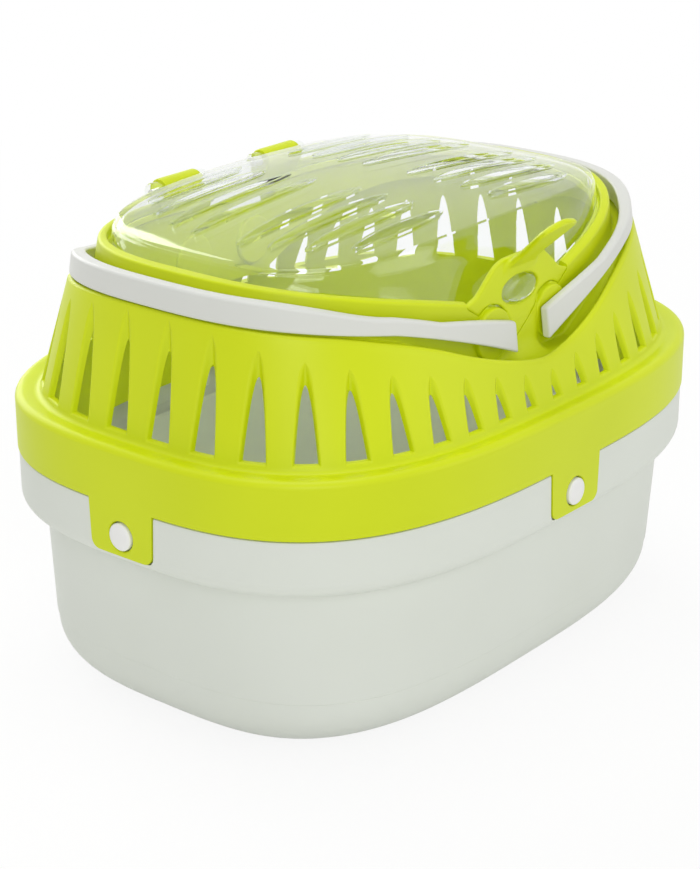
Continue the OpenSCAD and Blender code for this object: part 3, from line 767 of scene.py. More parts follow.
@dataclass
class TabPlates:
    """Outline of the four tabs that hang from the skirt, one in the middle of each side."""

    grow: float = 0.0
    reach: float = 4.0
    taper: float = 0.7
    corner: float = 4.2

    def outline(self, top: float) -> list[tuple[float, float]]:
        """The tab seen from outside, as (x, z), with rounded lower corners."""
        low = FORM.tab_low - self.grow
        half = FORM.tab_half + self.grow
        right = []
        for k in range(9):
            turn = math.pi / 2 * k / 8
            right.append(
                (
                    half - self.taper - self.corner * (1 - math.sin(turn)),
                    low + self.corner * (1 - math.cos(turn)),
                )
            )
        right.append((half, top))
        return right + [(-x, z) for x, z in reversed(right)]

    def blocks(self, name: str, start: float, top: float = FORM.skirt_low) -> bpy.types.Object:
        """Four blocks of the tab's outline, from a depth behind the skirt's face inwards.

        Args:
            name: Name of the blocks.
            start: Depth of their outer end behind the skirt's face, in millimetres.
            top: Height of their top.

        Returns:
            The four blocks as one mesh.
        """
        blocks = []
        for k, out in enumerate((FORM.skirt.half_width, FORM.skirt.half_length) * 2):
            block = prism(name, self.outline(top), -out + start, -out + self.reach)
            blocks.append(place(block, Matrix.Rotation(math.pi / 2 * k, 4, "Z")))
        return joined(blocks)


# ------------------------------------------------------------------ the cover


@dataclass
class GrilleSlots:
    """The pointed slots of the grille, low beside the latch and tall at the ends.

    Each one is a rounded wedge, pointing inwards, that the mould's straight
    draw cuts down into the leaning wall. It opens the wall at its foot and
    fades out above its tip.
    """

    half: float = 4.9
    lowest: float = 4.2
    tallest: float = 35.0
    crowding: float = 0.4
    foot_z: float = 127.3
    edge: float = 0.9
    curve: float = 0.55

    def height(self, number: int) -> float:
        """Height of a slot by its step from the middle of a side."""
        share = math.sin(math.pi / 2 * number / FORM.slots_per_quarter)
        return self.lowest + (self.tallest - self.lowest) * share**1.4

    def angles(self) -> list[tuple[int, float]]:
        """Step from the side and angle of every slot."""
        full = FORM.slots_per_quarter
        steps = list(range(10, -1, -1))
        shares = [1 - (i - self.crowding * math.sin(math.pi * (i / full) ** 1.15)) / full for i in steps]
        found = []
        for i, turn in zip(steps, FORM.along_quarter(shares)):
            found += [(i, turn), (i, -turn)]
            if i > 0:
                found += [(i, math.pi - turn), (i, math.pi + turn)]
        return found

    def cutter(self, number: int, angle: float) -> bpy.types.Object:
        """The solid that cuts one slot, flared where its outer edges are rounded.

        Args:
            number: The slot's step from the middle of a side.
            angle: Where it stands round the carrier, in radians.

        Returns:
            The cutting solid.
        """
        foot = Vector(FORM.foot.point(angle))
        before, after = FORM.foot.point(angle - 0.01), FORM.foot.point(angle + 0.01)
        across = Vector((after[0] - before[0], after[1] - before[1])).normalized()
        out = Vector((across.y, -across.x))
        tall = self.height(number)
        half = self.half * (tall / self.tallest) ** 0.42
        depth = -FORM.wall(self.foot_z + tall).depth_along(foot, out)
        point = FORM.cover_wall + depth

        def face(z: float, beside: float) -> float:
            """Distance of the wall's outer face from the wedge's point."""
            return point + FORM.wall(z).depth_along(foot + across * beside, out)

        top = self.foot_z + tall
        while face(top, 0.0) > 0.05:
            top += 0.25
        # Below the sill the wedge takes only the wall's outer edge, which rounds it
        sill = ((1.4, 0.0), (0.75, 0.05), (0.35, 0.3), (0.1, 0.75))
        levels = [(self.foot_z - below, within) for below, within in sill]
        levels += [(blend(self.foot_z, top, k / 13), 99.0) for k in range(14)] + [(top + 3, 99.0)]
        rings = []
        for z, within in levels:
            sides = []
            for side in (1, -1):
                shell = max(face(z, side * half * (max(face(z, 0.0), 0.0) / depth) ** self.curve), 0.0)
                edge = min(self.edge, 0.8 * shell)
                spots = [(shell - edge) * u for u in (0.0, 0.01, 0.04, 0.1, 0.2, 0.35, 0.55, 0.78, 1.0)]
                flares = [0.0] * 9
                for k in range(1, 6):
                    turn = math.pi / 2 * k / 5
                    spots.append(shell - edge + edge * math.sin(turn))
                    flares.append(edge * (1 - math.cos(turn)))
                spots.append(shell + 4.0)
                flares.append(edge)
                line = []
                for c, flare in zip(spots, flares):
                    beside = side * (half * (c / depth) ** self.curve + flare)
                    held = max(c, shell - within)
                    spot = foot + across * beside + out * (held - point)
                    line.append((spot.x, spot.y, z))
                sides.append(line)
            rings.append(sides[0] + sides[1][:0:-1])
        return loft("slot", rings)

    def cutters(self) -> bpy.types.Object:
        """All slots as one cutting tool."""
        return joined([self.cutter(number, angle) for number, angle in self.angles()])


@dataclass
class GrilleCover:
    """The lime cover: skirt, slotted wall, pocket for the handles, collar and seat of the lid."""

    stations: int = 528
    wall_rows: int = 8
    flange_low: float = 91.0
    seat_depth: float = 3.4

    def rings(self) -> list[Ring]:
        """Rings of the cover's skin, up the outside and down the inside."""
        turns = FORM.angles(self.stations)
        guide = [FORM.handle.point(t) for t in turns]
        lip = [FORM.lip(x) for x, _ in guide]
        pocket = [FORM.pocket(x) for x, _ in guide]
        top = [FORM.collar_top(x * 118.5 / 130.5, y) for x, y in guide]

        def level(outline: Outline, z: float) -> Ring:
            return [(*outline.point(t), z) for t in turns]

        def line(shape) -> Ring:
            ring = []
            for j, t in enumerate(turns):
                outline, z = shape(j)
                ring.append((*outline.point(t), z))
            return ring

        skirt, low, high = FORM.skirt, FORM.skirt_low, FORM.skirt_top
        rings = [level(skirt.inset(0.6), low), level(skirt.inset(0.15), low + 0.15), level(skirt, low + 0.6)]
        rings += [level(skirt, z) for z in (low + 8, low + 16, high - 3.0)]
        for k in range(1, 7):
            turn = math.pi / 2 * k / 6
            rings.append(level(skirt.inset(3.0 * (1 - math.cos(turn))), high - 3.0 * (1 - math.sin(turn))))
        # The ledge falls a little into a soft groove at the wall's foot
        foot = FORM.foot
        rings += [
            level(skirt.inset(4.6), high - 0.1),
            level(foot.inset(-3.2), high - 0.65),
            level(foot.inset(-2.0), high - 0.8),
            level(foot.inset(-1.0), high - 0.45),
            level(foot.inset(-0.35), high + 0.3),
            level(foot.inset(-0.05), FORM.foot_z - 0.2),
        ]
        for row in range(self.wall_rows + 1):

            def wall_row(j: int, share: float = row / self.wall_rows) -> tuple[Outline, float]:
                z = blend(FORM.foot_z, lip[j] - 1.3, share)
                return FORM.wall(z), z

            rings.append(line(wall_row))
        for step, drop in ((0.12, 0.75), (0.45, 0.3), (0.95, 0.06), (1.5, 0.0), (2.0, 0.15), (2.4, 0.6)):
            rings.append(line(lambda j, s=step, d=drop: (FORM.wall(lip[j]).inset(s), lip[j] - d)))
        rings.append(line(lambda j: (FORM.wall(lip[j]).inset(3.0), pocket[j] + 0.45)))
        rings.append(line(lambda j: (FORM.wall(lip[j]).inset(3.8), pocket[j])))
        for k in range(6):

            def fillet(j: int, turn: float = math.pi / 2 * k / 5) -> tuple[Outline, float]:
                x = guide[j][0]
                r = blend(7.0, 1.2, ease((abs(x) - 7) / 8)) if guide[j][1] < 0 else 1.2
                z = pocket[j] + r * (1 - math.cos(turn))
                swell = FORM.panel(x, z) if guide[j][1] < 0 else 0.0
                return FORM.collar_at(z).inset(-r * (1 - math.sin(turn)) - swell), z

            rings.append(line(fillet))
        for row in range(1, 9):

            def collar_row(j: int, share: float = row / 8) -> tuple[Outline, float]:
                x = guide[j][0]
                start = pocket[j] + (blend(7.0, 1.2, ease((abs(x) - 7) / 8)) if guide[j][1] < 0 else 1.2)
                z = blend(start, top[j] - 1.3, share)
                swell = FORM.panel(x, z) if guide[j][1] < 0 else 0.0
                return FORM.collar_at(z).inset(-swell), z

            rings.append(line(collar_row))
        for step, drop in ((0.15, 0.7), (0.5, 0.25), (1.1, 0.0)):
            rings.append(line(lambda j, s=step, d=drop: (FORM.collar_at(top[j] - 1.3).inset(s), top[j] - d)))
        seat, depth = FORM.seat, self.seat_depth
        lid_seat = ((-1.2, 0.0), (-0.5, 0.2), (-0.1, 0.7), (0.0, 1.4), (0.0, depth), (2.5, depth), (2.5, depth + 2.2))
        for step, drop in lid_seat:
            rings.append(line(lambda j, s=step, d=drop: (seat.inset(s), top[j] - d)))
        under = depth + 4.4
        rings.append(line(lambda j: (FORM.collar_at(top[j] - under).inset(FORM.cover_wall), top[j] - under)))
        rings.append(line(lambda j: (FORM.collar_at(pocket[j]).inset(FORM.cover_wall), pocket[j] - 2.4)))
        rings.append(line(lambda j: (FORM.wall(pocket[j] - 4.8).inset(FORM.cover_wall), pocket[j] - 4.8)))
        for share in (0.25, 0.5, 0.75):
            rings.append(
                line(
                    lambda j, s=share: (
                        FORM.wall(blend(pocket[j] - 4.8, FORM.foot_z, s)).inset(FORM.cover_wall),
                        blend(pocket[j] - 4.8, FORM.foot_z, s),
                    )
                )
            )
        rings += [
            level(foot.inset(FORM.cover_wall), FORM.foot_z),
            level(foot.inset(FORM.cover_wall), self.flange_low),
            level(foot.inset(0.9), self.flange_low),
            level(foot.inset(0.2), 122.0),
            level(skirt.inset(FORM.cover_wall), 122.0),
            level(skirt.inset(FORM.cover_wall), low + 0.4),
            level(skirt.inset(FORM.cover_wall - 0.4), low),
        ]
        return rings

    def tabs(self) -> bpy.types.Object:
        """The four tabs, flush with the skirt's face."""
        turns = FORM.angles(352)
        lines = (
            (FORM.skirt, FORM.tab_low - 3),
            (FORM.skirt, FORM.skirt_low + 1),
            (FORM.skirt.inset(FORM.cover_wall), FORM.skirt_low + 1),
            (FORM.skirt.inset(FORM.cover_wall), FORM.tab_low - 3),
        )
        band = loft("tab_band", [[(*o.point(t), z) for t in turns] for o, z in lines], closed=True)
        blocks = TabPlates(reach=8.0).blocks("tab_bounds", -2.0, FORM.skirt_low + 1)
        combine(band, blocks, Cut.KEEP_COMMON)
        return band

    def bosses(self) -> bpy.types.Object:
        """The four round pads on which the handles turn."""
        pads = []
        depth = 6.0
        for side_x in (-1, 1):
            for side_y in (-1, 1):
                deselect_all()
                spot = (side_x * FORM.pivot_x, side_y * (FORM.boss_face - depth / 2), FORM.pivot_z)
                bpy.ops.mesh.primitive_cylinder_add(
                    vertices=72,
                    radius=FORM.boss_radius * MM,
                    depth=depth * MM,
                    location=[v * MM for v in spot],
                    rotation=(math.pi / 2, 0, 0),
                )
                bpy.ops.object.transform_apply(location=True, rotation=True, scale=True)
                round_edges(bpy.context.object, 0.9)
                pads.append(bpy.context.object)
        return joined(pads)

    def lugs(self) -> bpy.types.Object:
        """The two lugs at the back in which the lid's pins sit."""
        centre_y, centre_z = FORM.hinge_y, FORM.hinge_z
        lugs = []
        for side in (-1, 1):
            rings = []
            half = FORM.lug_length / 2
            near = ((-half, 1.0), (-half + 0.3, 0.3), (-half + 1, 0.0))
            for along, inset in near + ((half - 1, 0.0), (half - 0.3, 0.3), (half, 1.0)):
                r = 5.5 - inset
                ring = []
                for k in range(25):
                    turn = math.radians(blend(0.8, 216.1, k / 24))
                    ring.append((centre_y + r * math.cos(turn), centre_z + r * math.sin(turn)))
                ring += [(78.1 + inset, 178.5), (81.6 - inset, 178.5)]
                rings.append([(side * FORM.lug_x + along, y, z) for y, z in ring])
            lugs.append(loft("hinge_lug", rings))
        return joined(lugs)

    def build(self) -> bpy.types.Object:
        """Builds the cover."""
        cover = loft("grille_cover_shell", self.rings(), closed=True)
        combine(cover, self.tabs(), Cut.ADD)
        combine(cover, self.bosses(), Cut.ADD)
        combine(cover, self.lugs(), Cut.ADD)
        combine(cover, GrilleSlots().cutters(), Cut.REMOVE)
        combine(cover, LatchTongue().opening(), Cut.REMOVE)
        combine(cover, TabStuds().holes(), Cut.REMOVE)
        shade(cover, 38)
        return cover


# ----------------------------------------------------------- the latch tongue


@dataclass
class LatchTongue:
    """The sprung tongue: a plate with an oval hole that carries a thumb petal."""

    half: float = 35.0
    thickness: float = 2.4
    cut: float = 0.12
    root_half: float = 6.5
    root_z: float = 149.0
    hole_width: float = 25.0
    hole_height: float = 12.0
    petal_thickness: float = 3.6

    def root(self, grow: float) -> list[tuple[float, float]]:
        """Right half of the tongue's lower edge, as (x, z)."""
        bend = FORM.boss_radius + 1 - grow
        line = [(self.root_half + grow, self.root_z - grow)]
        for k in range(17):
            turn = math.radians(blend(147, 50, k / 16))
            line.append((FORM.pivot_x + bend * math.cos(turn), FORM.pivot_z + bend * math.sin(turn)))
        return line + [(self.half - 1 + grow, FORM.notch_z - 1.2 - grow)]

    def outline(self) -> list[tuple[float, float]]:
        """The plate's outline, as (x, z)."""
        rise = FORM.tongue_top - FORM.notch_z
        shares = ((1.0, 0.0), (0.843, 0.148), (0.743, 0.333), (0.643, 0.556), (0.457, 0.926), (0.257, 1.074))
        shoulder = smooth_line([(a * self.half, FORM.notch_z + b * rise) for a, b in shares], 5)
        right = self.root(0.0) + shoulder
        return right + [(-x, z) for x, z in reversed(right)]

    def opening(self) -> bpy.types.Object:
        """The solid that frees the tongue from the collar."""
        half = self.half + self.cut
        right = self.root(self.cut) + [(half, FORM.notch_z), (half, 215.0)]
        return prism("tongue_opening", right + [(-x, z) for x, z in reversed(right)], -96.0, -69.0)

    def petal(self) -> bpy.types.Object:
        """The thumb petal: it leaves the plate's top, bends forward and broadens to a round tip."""
        sections = (
            (-0.12, -0.3, 13.2, 0.66),
            (0.0, -0.12, 12.6, 0.75),
            (0.03, 0.04, 11.0, 0.9),
            (0.12, 0.16, 9.6, 1.0),
            (0.27, 0.32, 9.0, 1.0),
            (0.45, 0.5, 9.6, 1.0),
            (0.62, 0.67, 10.9, 1.0),
            (0.77, 0.82, 11.8, 0.95),
            (0.89, 0.93, 11.2, 0.9),
            (0.97, 1.0, 8.3, 0.8),
            (1.01, 1.035, 3.8, 0.6),
        )
        face = FORM.collar_at(FORM.notch_z).half_width - self.thickness / 2
        spots = [(face + f * 21.5, FORM.tongue_top - 3.5 + u * 20.5) for f, u, _, _ in sections]
        rings = []
        for k, (_, _, half, share) in enumerate(sections):
            before, after = spots[max(0, k - 1)], spots[min(len(spots) - 1, k + 1)]
            way = Vector((after[0] - before[0], after[1] - before[1])).normalized()
            thick = share * self.petal_thickness / 2
            ring = []
            for j in range(40):
                turn = 2 * math.pi * j / 40
                across = half * math.copysign(abs(math.cos(turn)) ** 0.75, math.cos(turn))
                # The petal is a little hollow across its front
                hollow = 0.9 * (across / half) ** 2 * ease(k / 5)
                lift = thick * math.copysign(abs(math.sin(turn)) ** 0.7, math.sin(turn)) + hollow
                forward = spots[k][0] + way.y * lift
                up = spots[k][1] - way.x * lift
                ring.append((across, -forward, up))
            rings.append(ring)
        return loft("thumb_petal", rings)

    def build(self) -> bpy.types.Object:
        """Builds the tongue."""
        turns = FORM.angles(352)
        heights = [148 + 2 * k for k in range(20)]

        def face(z: float, behind: float) -> Ring:
            ring = []
            for t in turns:
                x, y = FORM.collar_at(z).inset(behind).point(t)
                swell = FORM.panel(x, z) if y < 0 else 0.0
                ring.append((x, y - swell, z))
            return ring

        rings = [face(z, 0.0) for z in heights] + [face(z, self.thickness) for z in reversed(heights)]
        plate = loft("latch_tongue_plate", rings, closed=True)
        combine(plate, prism("tongue_bounds", self.outline(), -96.0, -69.0), Cut.KEEP_COMMON)
        combine(plate, self.petal(), Cut.ADD)
        hole = []
        for k in range(64):
            turn = 2 * math.pi * k / 64
            hole.append((self.hole_width / 2 * math.cos(turn), FORM.hole_z + self.hole_height / 2 * math.sin(turn)))
        combine(plate, prism("tongue_hole", hole, -96.0, -69.0), Cut.REMOVE)
        soften(plate, 0.5, 5)
        shade(plate, 60)
        return plate


# -------------------------------------------------------------------- the lid


@dataclass
class ClearLid:
    """The clear domed lid with its rows of vents, its hinge ears and its latch boss."""

    wall: float = 2.0
    crease: Outline = Outline(104.7, 69.2, 3.6)
    crown_z: float = 202.0
    crease_sides: float = 197.2
    crease_ends: float = 193.3
    dome_power: float = 2.4
    rim_foot: float = 162.3
    vent_half: float = 2.6
    vent_rim: float = 1.7
    vent_raise: float = 0.9
    stations: int = 352

    def crease_z(self, x: float) -> float:
        """Height of the crease between dome and side."""
        return blend(self.crease_sides, self.crease_ends, min(1.0, abs(x) / self.crease.half_length) ** 2)

    def dome(self, turns: list[float], share: float, behind: float) -> Ring:
        """A ring of the dome, at a share of the way from its middle to the crease."""
        ring = []
        for t in turns:
            x, y = self.crease.inset(behind).point(t)
            edge = self.crease_z(self.crease.point(t)[0])
            ring.append((share * x, share * y, blend(self.crown_z, edge, share**self.dome_power) - behind))
        return ring

    def side(self, turns: list[float], behind: float) -> list[Ring]:
        """Rings of the side from crease to rim, with its two soft steps."""
        rings = []
        upper = ((0.05, 0.75), (0.12, 0.9), (0.2, 0.75), (0.25, 1.25))
        for share, out in upper + ((0.34, 1.4), (0.5, 1.0), (0.7, 0.5), (1.0, 0.0)):
            ring = []
            for t in turns:
                x, y = FORM.lid_rim.inset(behind).point(t)
                top = FORM.collar_top(FORM.handle.point(t)[0] * 118.5 / 130.5, y)
                rim = max(top - 2.9, self.rim_foot)
                cx, cy = self.crease.inset(behind - out).point(t)
                edge = self.crease_z(self.crease.point(t)[0]) - behind * (1 - share)
                bx, by = FORM.lid_rim.inset(behind - out * 0.4).point(t)
                ring.append((blend(cx, bx, share), blend(cy, by, share), blend(edge, rim, share)))
            rings.append(ring)
        return rings

    def shell(self, name: str, raised: float, wall: float) -> bpy.types.Object:
        """The lid's shell, or a dome raised over it for the vents' rims."""
        turns = FORM.angles(self.stations)
        shares = [0.03, 0.1, 0.18, 0.26, 0.34, 0.42, 0.5, 0.58, 0.66, 0.73, 0.8, 0.86, 0.91, 0.95, 0.98, 1.0]
        outer = self.side(turns, 0.0)
        inner = self.side(turns, wall)
        rings = [self.dome(turns, s, wall) for s in shares] + inner + outer[::-1]
        rings += [self.dome(turns, s, -raised) for s in reversed(shares)]
        return loft(name, rings)

    def vent_end(self, row: int) -> float:
        """Distance of a row's outer end from the middle."""
        share = (12 + 14 * row) / (1.07 * self.crease.half_width)
        return 91 * (1 - share**2.6) ** 0.42

    def lenses(self, name: str, grow: float) -> bpy.types.Object:
        """Upright prisms of the sixteen vents, grown by a distance."""
        prisms = []
        for row in range(4):
            near, far = 17 - grow, self.vent_end(row) + grow
            half = self.vent_half + grow
            outline = []
            for k in range(56):
                turn = 2 * math.pi * k / 56
                along = math.copysign(abs(math.cos(turn)) ** 0.9, math.cos(turn))
                across = math.copysign(abs(math.sin(turn)) ** 1.35, math.sin(turn))
                outline.append(((near + far) / 2 + along * (far - near) / 2, half * across))
            for side_x in (-1, 1):
                for side_y in (-1, 1):
                    middle = side_y * (12 + 14 * row)
                    rings = [[(side_x * x, middle + y, z) for x, y in outline] for z in (176.0, 212.0)]
                    prisms.append(loft(name, rings))
        return joined(prisms)

    def ears(self) -> bpy.types.Object:
        """The four ears that hold the hinge pins beside the lugs."""
        ears = []
        for side in (-1, 1):
            for end in (-1, 1):
                deselect_all()
                spot = (side * FORM.lug_x + end * 14.0, FORM.hinge_y, FORM.hinge_z)
                bpy.ops.mesh.primitive_cylinder_add(
                    vertices=48,
                    radius=4.5 * MM,
                    depth=4 * MM,
                    location=[v * MM for v in spot],
                    rotation=(0, math.pi / 2, 0),
                )
                bpy.ops.object.transform_apply(location=True, rotation=True, scale=True)
                round_edges(bpy.context.object, 0.5)
                ears.append(bpy.context.object)
        return joined(ears)

    def boss(self) -> bpy.types.Object:
        """The clear oval boss that shows in the tongue's hole."""
        rings = []
        front = ((-82.9, 0.8), (-83.4, 0.62), (-83.6, 0.35), (-83.65, 0.1))
        for depth, share in ((-77.0, 0.9), (-81.0, 0.9), (-82.1, 0.88)) + front:
            ring = []
            for k in range(48):
                turn = 2 * math.pi * k / 48
                ring.append((12.5 * share * math.cos(turn), depth, FORM.hole_z + 6 * share * math.sin(turn)))
            rings.append(ring)
        return loft("latch_boss", rings)

    def notches(self) -> bpy.types.Object:
        """The openings in the lid's side round the hinge lugs."""
        blocks = []
        for side in (-1, 1):
            outline = []
            for k in range(33):
                turn = math.pi * k / 32
                outline.append((FORM.hinge_y + 7 * math.cos(turn), FORM.hinge_z + 7 * math.sin(turn)))
            outline += [(FORM.hinge_y - 7, 150.0), (FORM.hinge_y + 7, 150.0)]
            half = FORM.lug_length / 2 + 0.5
            rings = [[(side * FORM.lug_x + x, y, z) for y, z in outline] for x in (-half, half)]
            blocks.append(loft("lug_notch", rings))
        return joined(blocks)

    def build(self) -> bpy.types.Object:
        """Builds the lid."""
        lid = self.shell("lid_shell", 0.0, self.wall)
        rims = self.shell("vent_rims", self.vent_raise, self.wall - 0.2)
        combine(rims, self.lenses("rim_bounds", self.vent_rim), Cut.KEEP_COMMON)
        combine(lid, rims, Cut.ADD)
        combine(lid, self.lenses("vents", 0.0), Cut.REMOVE)
        combine(lid, self.notches(), Cut.REMOVE)
        combine(lid, self.ears(), Cut.ADD)
        combine(lid, self.boss(), Cut.ADD)
        shade(lid, 34)
        return lid


# ---------------------------------------------------------------- the handles


@dataclass
class CarryHandle:
    """One folding handle: a band that bows round the lid and ends in two fishtails on its pivots."""

    side: int = 1
    arm_thickness: float = 3.8
    grip_thickness: float = 5.5
    arm_height: float = 6.5
    grip_height: float = 10.1
    end_flare: float = 6.5
    lean: float = 0.13
    stations: int = 110

    def half_section(self, width: float, height: float) -> list[tuple[float, float]]:
        """The band's section as (step in, height above its foot), with rounded corners."""
        r = 1.2
        corners = ((r, r, 180), (r, height - r, 90), (width - r, height - r, 0), (width - r, r, -90))
        points = []
        for x, z, start in corners:
            for k in range(5):
                turn = math.radians(start - 90 * k / 4 + 90)
                px, pz = x + r * math.cos(turn), z + r * math.sin(turn)
                points.append((px + self.lean * pz, pz))
        return points

    def build(self) -> bpy.types.Object:
        """Builds the handle."""
        outline = FORM.handle
        start = math.atan2(outline.half_width_at(FORM.handle_end) / outline.half_width, FORM.handle_end / outline.half_length)
        rings = []
        for k in range(self.stations, -self.stations - 1, -1):
            u = k / self.stations
            turn = start * math.copysign(abs(u) ** 0.92, u)
            x = outline.point(turn)[0]
            plain = blend(self.arm_height, self.grip_height, ease((x / 130.5 - 0.64) / 0.31))
            height = blend(plain, self.arm_height + self.end_flare, FORM.toward_end(x, FORM.flare_start))
            width = blend(self.arm_thickness, self.grip_thickness, clamp((x / 130.5 - 0.575) / 0.23))
            foot = FORM.arm_line(x) - FORM.end_drop * FORM.toward_end(x, FORM.drop_start) ** 1.25
            ring = []
            for step, up in self.half_section(width, height):
                px, py = outline.inset(step).point(turn)
                ring.append((self.side * px, py, foot + up))
            rings.append(ring)
        name = "handle_right_band" if self.side > 0 else "handle_left_band"
        band = loft(name, rings)
        round_edges(band, 1.1, 50, 3)
        shade(band, 50)
        return band


# ------------------------------------------------------------------ the studs


@dataclass
class TabStuds:
    """The four domed studs over which the cover's tabs snap."""

    radius: float = 5.75
    gap: float = 0.35

    def turns(self) -> list[float]:
        """Angles of the points round a stud or its hole."""
        return [2 * math.pi * k / 64 for k in range(64)]

    def places(self) -> list[tuple[str, Matrix]]:
        """Name and turn of each stud, with its distance from the middle."""
        sites = []
        for k, name in enumerate(("front", "right", "back", "left")):
            out = FORM.skirt.half_width if k % 2 == 0 else FORM.skirt.half_length
            turn = Matrix.Rotation(math.pi / 2 * k, 4, "Z")
            sites.append((name, turn @ Matrix.Translation((0, -out * MM, FORM.stud_z * MM))))
        return sites

    def holes(self) -> bpy.types.Object:
        """The round holes in the tabs, with rounded edges."""
        holes = []
        for _, site in self.places():
            rings = []
            for depth, grow in ((-3.0, 0.9), (-0.05, 0.9), (0.15, 0.5), (0.6, 0.15), (6.0, 0.15)):
                r = self.radius + self.gap + grow
                rings.append([(r * math.cos(a), depth, r * math.sin(a)) for a in self.turns()])
            holes.append(place(loft("stud_hole", rings), site))
        return joined(holes)

    def build(self) -> dict[str, bpy.types.Object]:
        """Builds the studs, by the name of their side."""
        shank = ((3.2, 0.62), (3.1, 1.0), (-0.2, 1.0))
        dome = ((-0.62, 0.94), (-0.92, 0.8), (-1.1, 0.6), (-1.17, 0.35), (-1.2, 0.08))
        rings = [
            [(self.radius * share * math.cos(a), depth, self.radius * share * math.sin(a)) for a in self.turns()]
            for depth, share in shank + dome
        ]
        first = loft("tab_stud_model", rings)
        shade(first, 50)
        studs = {name: copy_of(first, f"tab_stud_{name}_button", site) for name, site in self.places()}
        bpy.data.objects.remove(first)
        return studs


# ------------------------------------------------------------------ the studio


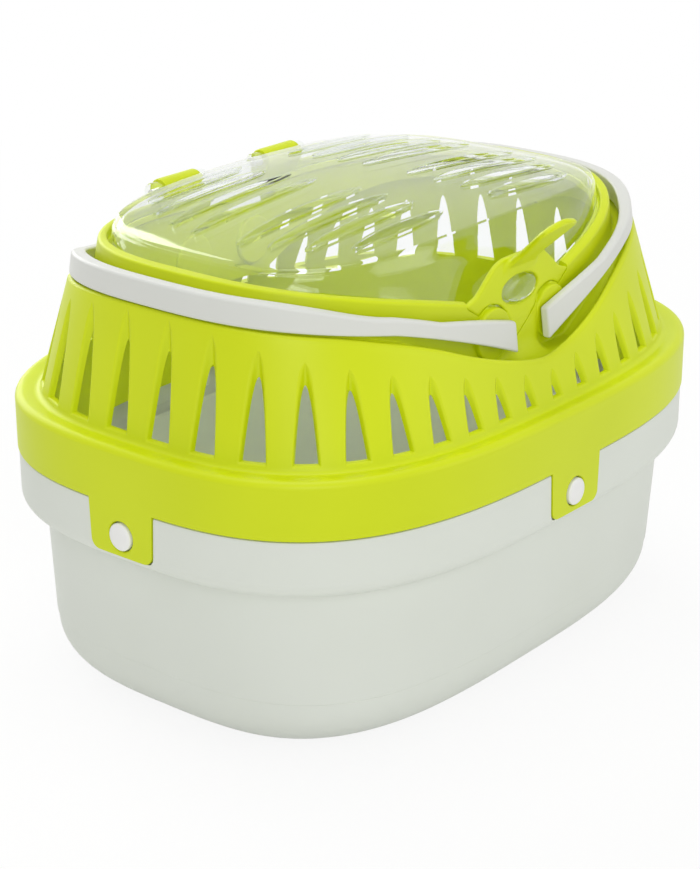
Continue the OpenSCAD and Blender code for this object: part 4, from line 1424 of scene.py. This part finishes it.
@dataclass
class Studio:
    """White sweep, soft lamps and the camera of the photograph."""

    sky_level: float = 0.5

    def floor(self) -> None:
        """A pale floor that keeps a soft shadow and fades into the white behind."""
        deselect_all()
        bpy.ops.mesh.primitive_plane_add(size=12.0, location=(0, 0, -0.0005))
        floor = bpy.context.object
        floor.name = "studio_floor"
        bpy.ops.object.transform_apply(location=True, rotation=True, scale=True)
        paper = bpy.data.materials.new("white_paper_sweep")
        paper.use_nodes = True
        tree = paper.node_tree
        tree.nodes.clear()
        seen = seen_rays(tree)
        spot = add_node(tree, "ShaderNodeTexCoord", {}, {}).outputs["Object"]
        away = add_node(tree, "ShaderNodeVectorMath", {"operation": "LENGTH"}, {0: spot})
        far = add_node(
            tree,
            "ShaderNodeMapRange",
            {"From Min": 0.25, "From Max": 0.9, "To Min": 0.88, "To Max": 1.0},
            {"Value": away.outputs["Value"]},
        )
        share = add_node(tree, "ShaderNodeMath", {"operation": "MULTIPLY"}, {0: seen, 1: far.outputs["Result"]})
        paper_face = add_node(tree, "ShaderNodeBsdfDiffuse", {"Color": linear("#f4f4f2")}, {})
        white = add_node(tree, "ShaderNodeEmission", {"Color": (1, 1, 1, 1), "Strength": 1.0}, {})
        mixed = add_node(
            tree, "ShaderNodeMixShader", {}, {0: share.outputs[0], 1: paper_face.outputs[0], 2: white.outputs[0]}
        )
        add_node(tree, "ShaderNodeOutputMaterial", {}, {"Surface": mixed.outputs[0]})
        floor.data.materials.append(paper)

    def sky(self) -> None:
        """An even white surround: full white where it is seen, weaker where it lights."""
        world = bpy.data.worlds.new("white_surround")
        bpy.context.scene.world = world
        world.use_nodes = True
        tree = world.node_tree
        tree.nodes.clear()
        seen = seen_rays(tree)
        light = add_node(tree, "ShaderNodeBackground", {"Color": (1, 1, 1, 1), "Strength": self.sky_level}, {})
        white = add_node(tree, "ShaderNodeBackground", {"Color": (1, 1, 1, 1), "Strength": 1.0}, {})
        mixed = add_node(tree, "ShaderNodeMixShader", {}, {0: seen, 1: light.outputs[0], 2: white.outputs[0]})
        add_node(tree, "ShaderNodeOutputWorld", {}, {"Surface": mixed.outputs[0]})

    def lamp(self, name: str, spot: Point, size: float, power: float) -> None:
        """A square softbox, in metres and watts, turned to the carrier."""
        light = bpy.data.lights.new(name, "AREA")
        light.shape = "SQUARE"
        light.size = size
        light.energy = power
        lamp = bpy.data.objects.new(name, light)
        bpy.context.scene.collection.objects.link(lamp)
        lamp.location = spot
        lamp.rotation_euler = (Vector((0, 0, 0.1)) - Vector(spot)).to_track_quat("-Z", "Y").to_euler()

    def lamps(self) -> None:
        """Three softboxes: one high on the left, one low on the right, one overhead."""
        self.lamp("softbox_left", (-1.7, -1.6, 1.2), 1.3, 17)
        self.lamp("softbox_right", (1.0, -2.0, 0.8), 1.2, 6)
        self.lamp("softbox_top", (0.0, 0.1, 1.9), 1.2, 12)
        self.lamp("softbox_behind", (0.5, 1.9, 0.9), 1.4, 16)

    def camera(self) -> None:
        """The camera of the photograph: the framing is by lens shift, as the photo was cropped."""
        turn, rise, away = math.radians(-51.08), math.radians(21.72), 0.99337
        back = Vector((math.sin(turn) * math.cos(rise), -math.cos(turn) * math.cos(rise), math.sin(rise)))
        right = Vector((math.cos(turn), math.sin(turn), 0))
        up = back.cross(right)
        lens = bpy.data.cameras.new("photo_camera")
        lens.sensor_fit = "VERTICAL"
        lens.sensor_height = 36.0
        lens.lens = 93.71
        lens.shift_x = -0.01395
        lens.shift_y = 0.01342
        camera = bpy.data.objects.new("photo_camera", lens)
        bpy.context.scene.collection.objects.link(camera)
        axes = Matrix((right, up, back)).transposed().to_4x4()
        camera.matrix_world = Matrix.Translation(Vector((0, 0, 0.08)) + back * away) @ axes
        bpy.context.scene.camera = camera

    def build(self) -> None:
        """Sets up the whole studio."""
        self.floor()
        self.sky()
        self.lamps()
        self.camera()
        bpy.context.scene.view_settings.view_transform = "Standard"


# ---------------------------------------------------------------- the carrier


@dataclass
class Carrier:
    """The whole carrier: its plastics, and the pieces in the order of their assembly."""

    def __post_init__(self) -> None:
        """Mixes the plastics."""
        self.grey = SatinPolypropylene("warm_grey_polypropylene", "#dce0d8", "#d6dad1", 0.5).material()
        self.lime = SatinPolypropylene("lime_polypropylene", "#cfdd02", "#c6d400", 0.42).material()
        self.pale = SatinPolypropylene("pale_grey_polypropylene", "#d9dad5", "#d3d5cf", 0.38).material()
        self.white = SatinPolypropylene("white_polypropylene", "#ededeb", "#e6e6e4", 0.3).material()
        self.clear = ClearPolystyrene("clear_polystyrene", "#f8faf9", "#e4e6e5", 0.04).material()

    def fit(
        self, piece: bpy.types.Object, body: str, node: str, material: bpy.types.Material
    ) -> None:
        """Puts a finished piece in the place of its CAD node.

        Args:
            piece: The finished mesh.
            body: The CAD body that it moves with.
            node: The CAD node that it stands for.
            material: Its plastic.
        """
        dress(piece, material)
        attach(piece, body)
        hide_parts(node)
        log.info("%s: %d faces, on %s", piece.name, len(piece.data.polygons), body)

    def build(self) -> None:
        """Builds every piece, and dresses the pins that stay as they are."""
        self.fit(BaseTub().build(), "base", "base_tub", self.grey)
        self.fit(GrilleCover().build(), "cover", "grille_cover", self.lime)
        self.fit(LatchTongue().build(), "latch", "latch_tongue", self.lime)
        self.fit(ClearLid().build(), "lid", "lid", self.clear)
        for side, name in ((-1, "left"), (1, "right")):
            band = CarryHandle(side=side).build()
            self.fit(band, f"handle_{name}", f"handle_{name}", self.pale)
        for name, stud in TabStuds().build().items():
            self.fit(stud, "base", f"tab_stud_{name}", self.white)
        for name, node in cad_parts.items():
            if name.startswith(("pivot_pin", "lid_pin")):
                node.data.materials.clear()
                node.data.materials.append(self.white)
                log.info("%s: kept, in white polypropylene", name)


def main() -> None:
    """Builds the studio and the carrier."""
    Studio().build()
    Carrier().build()
    deselect_all()


if __name__ == "__main__":
    main()
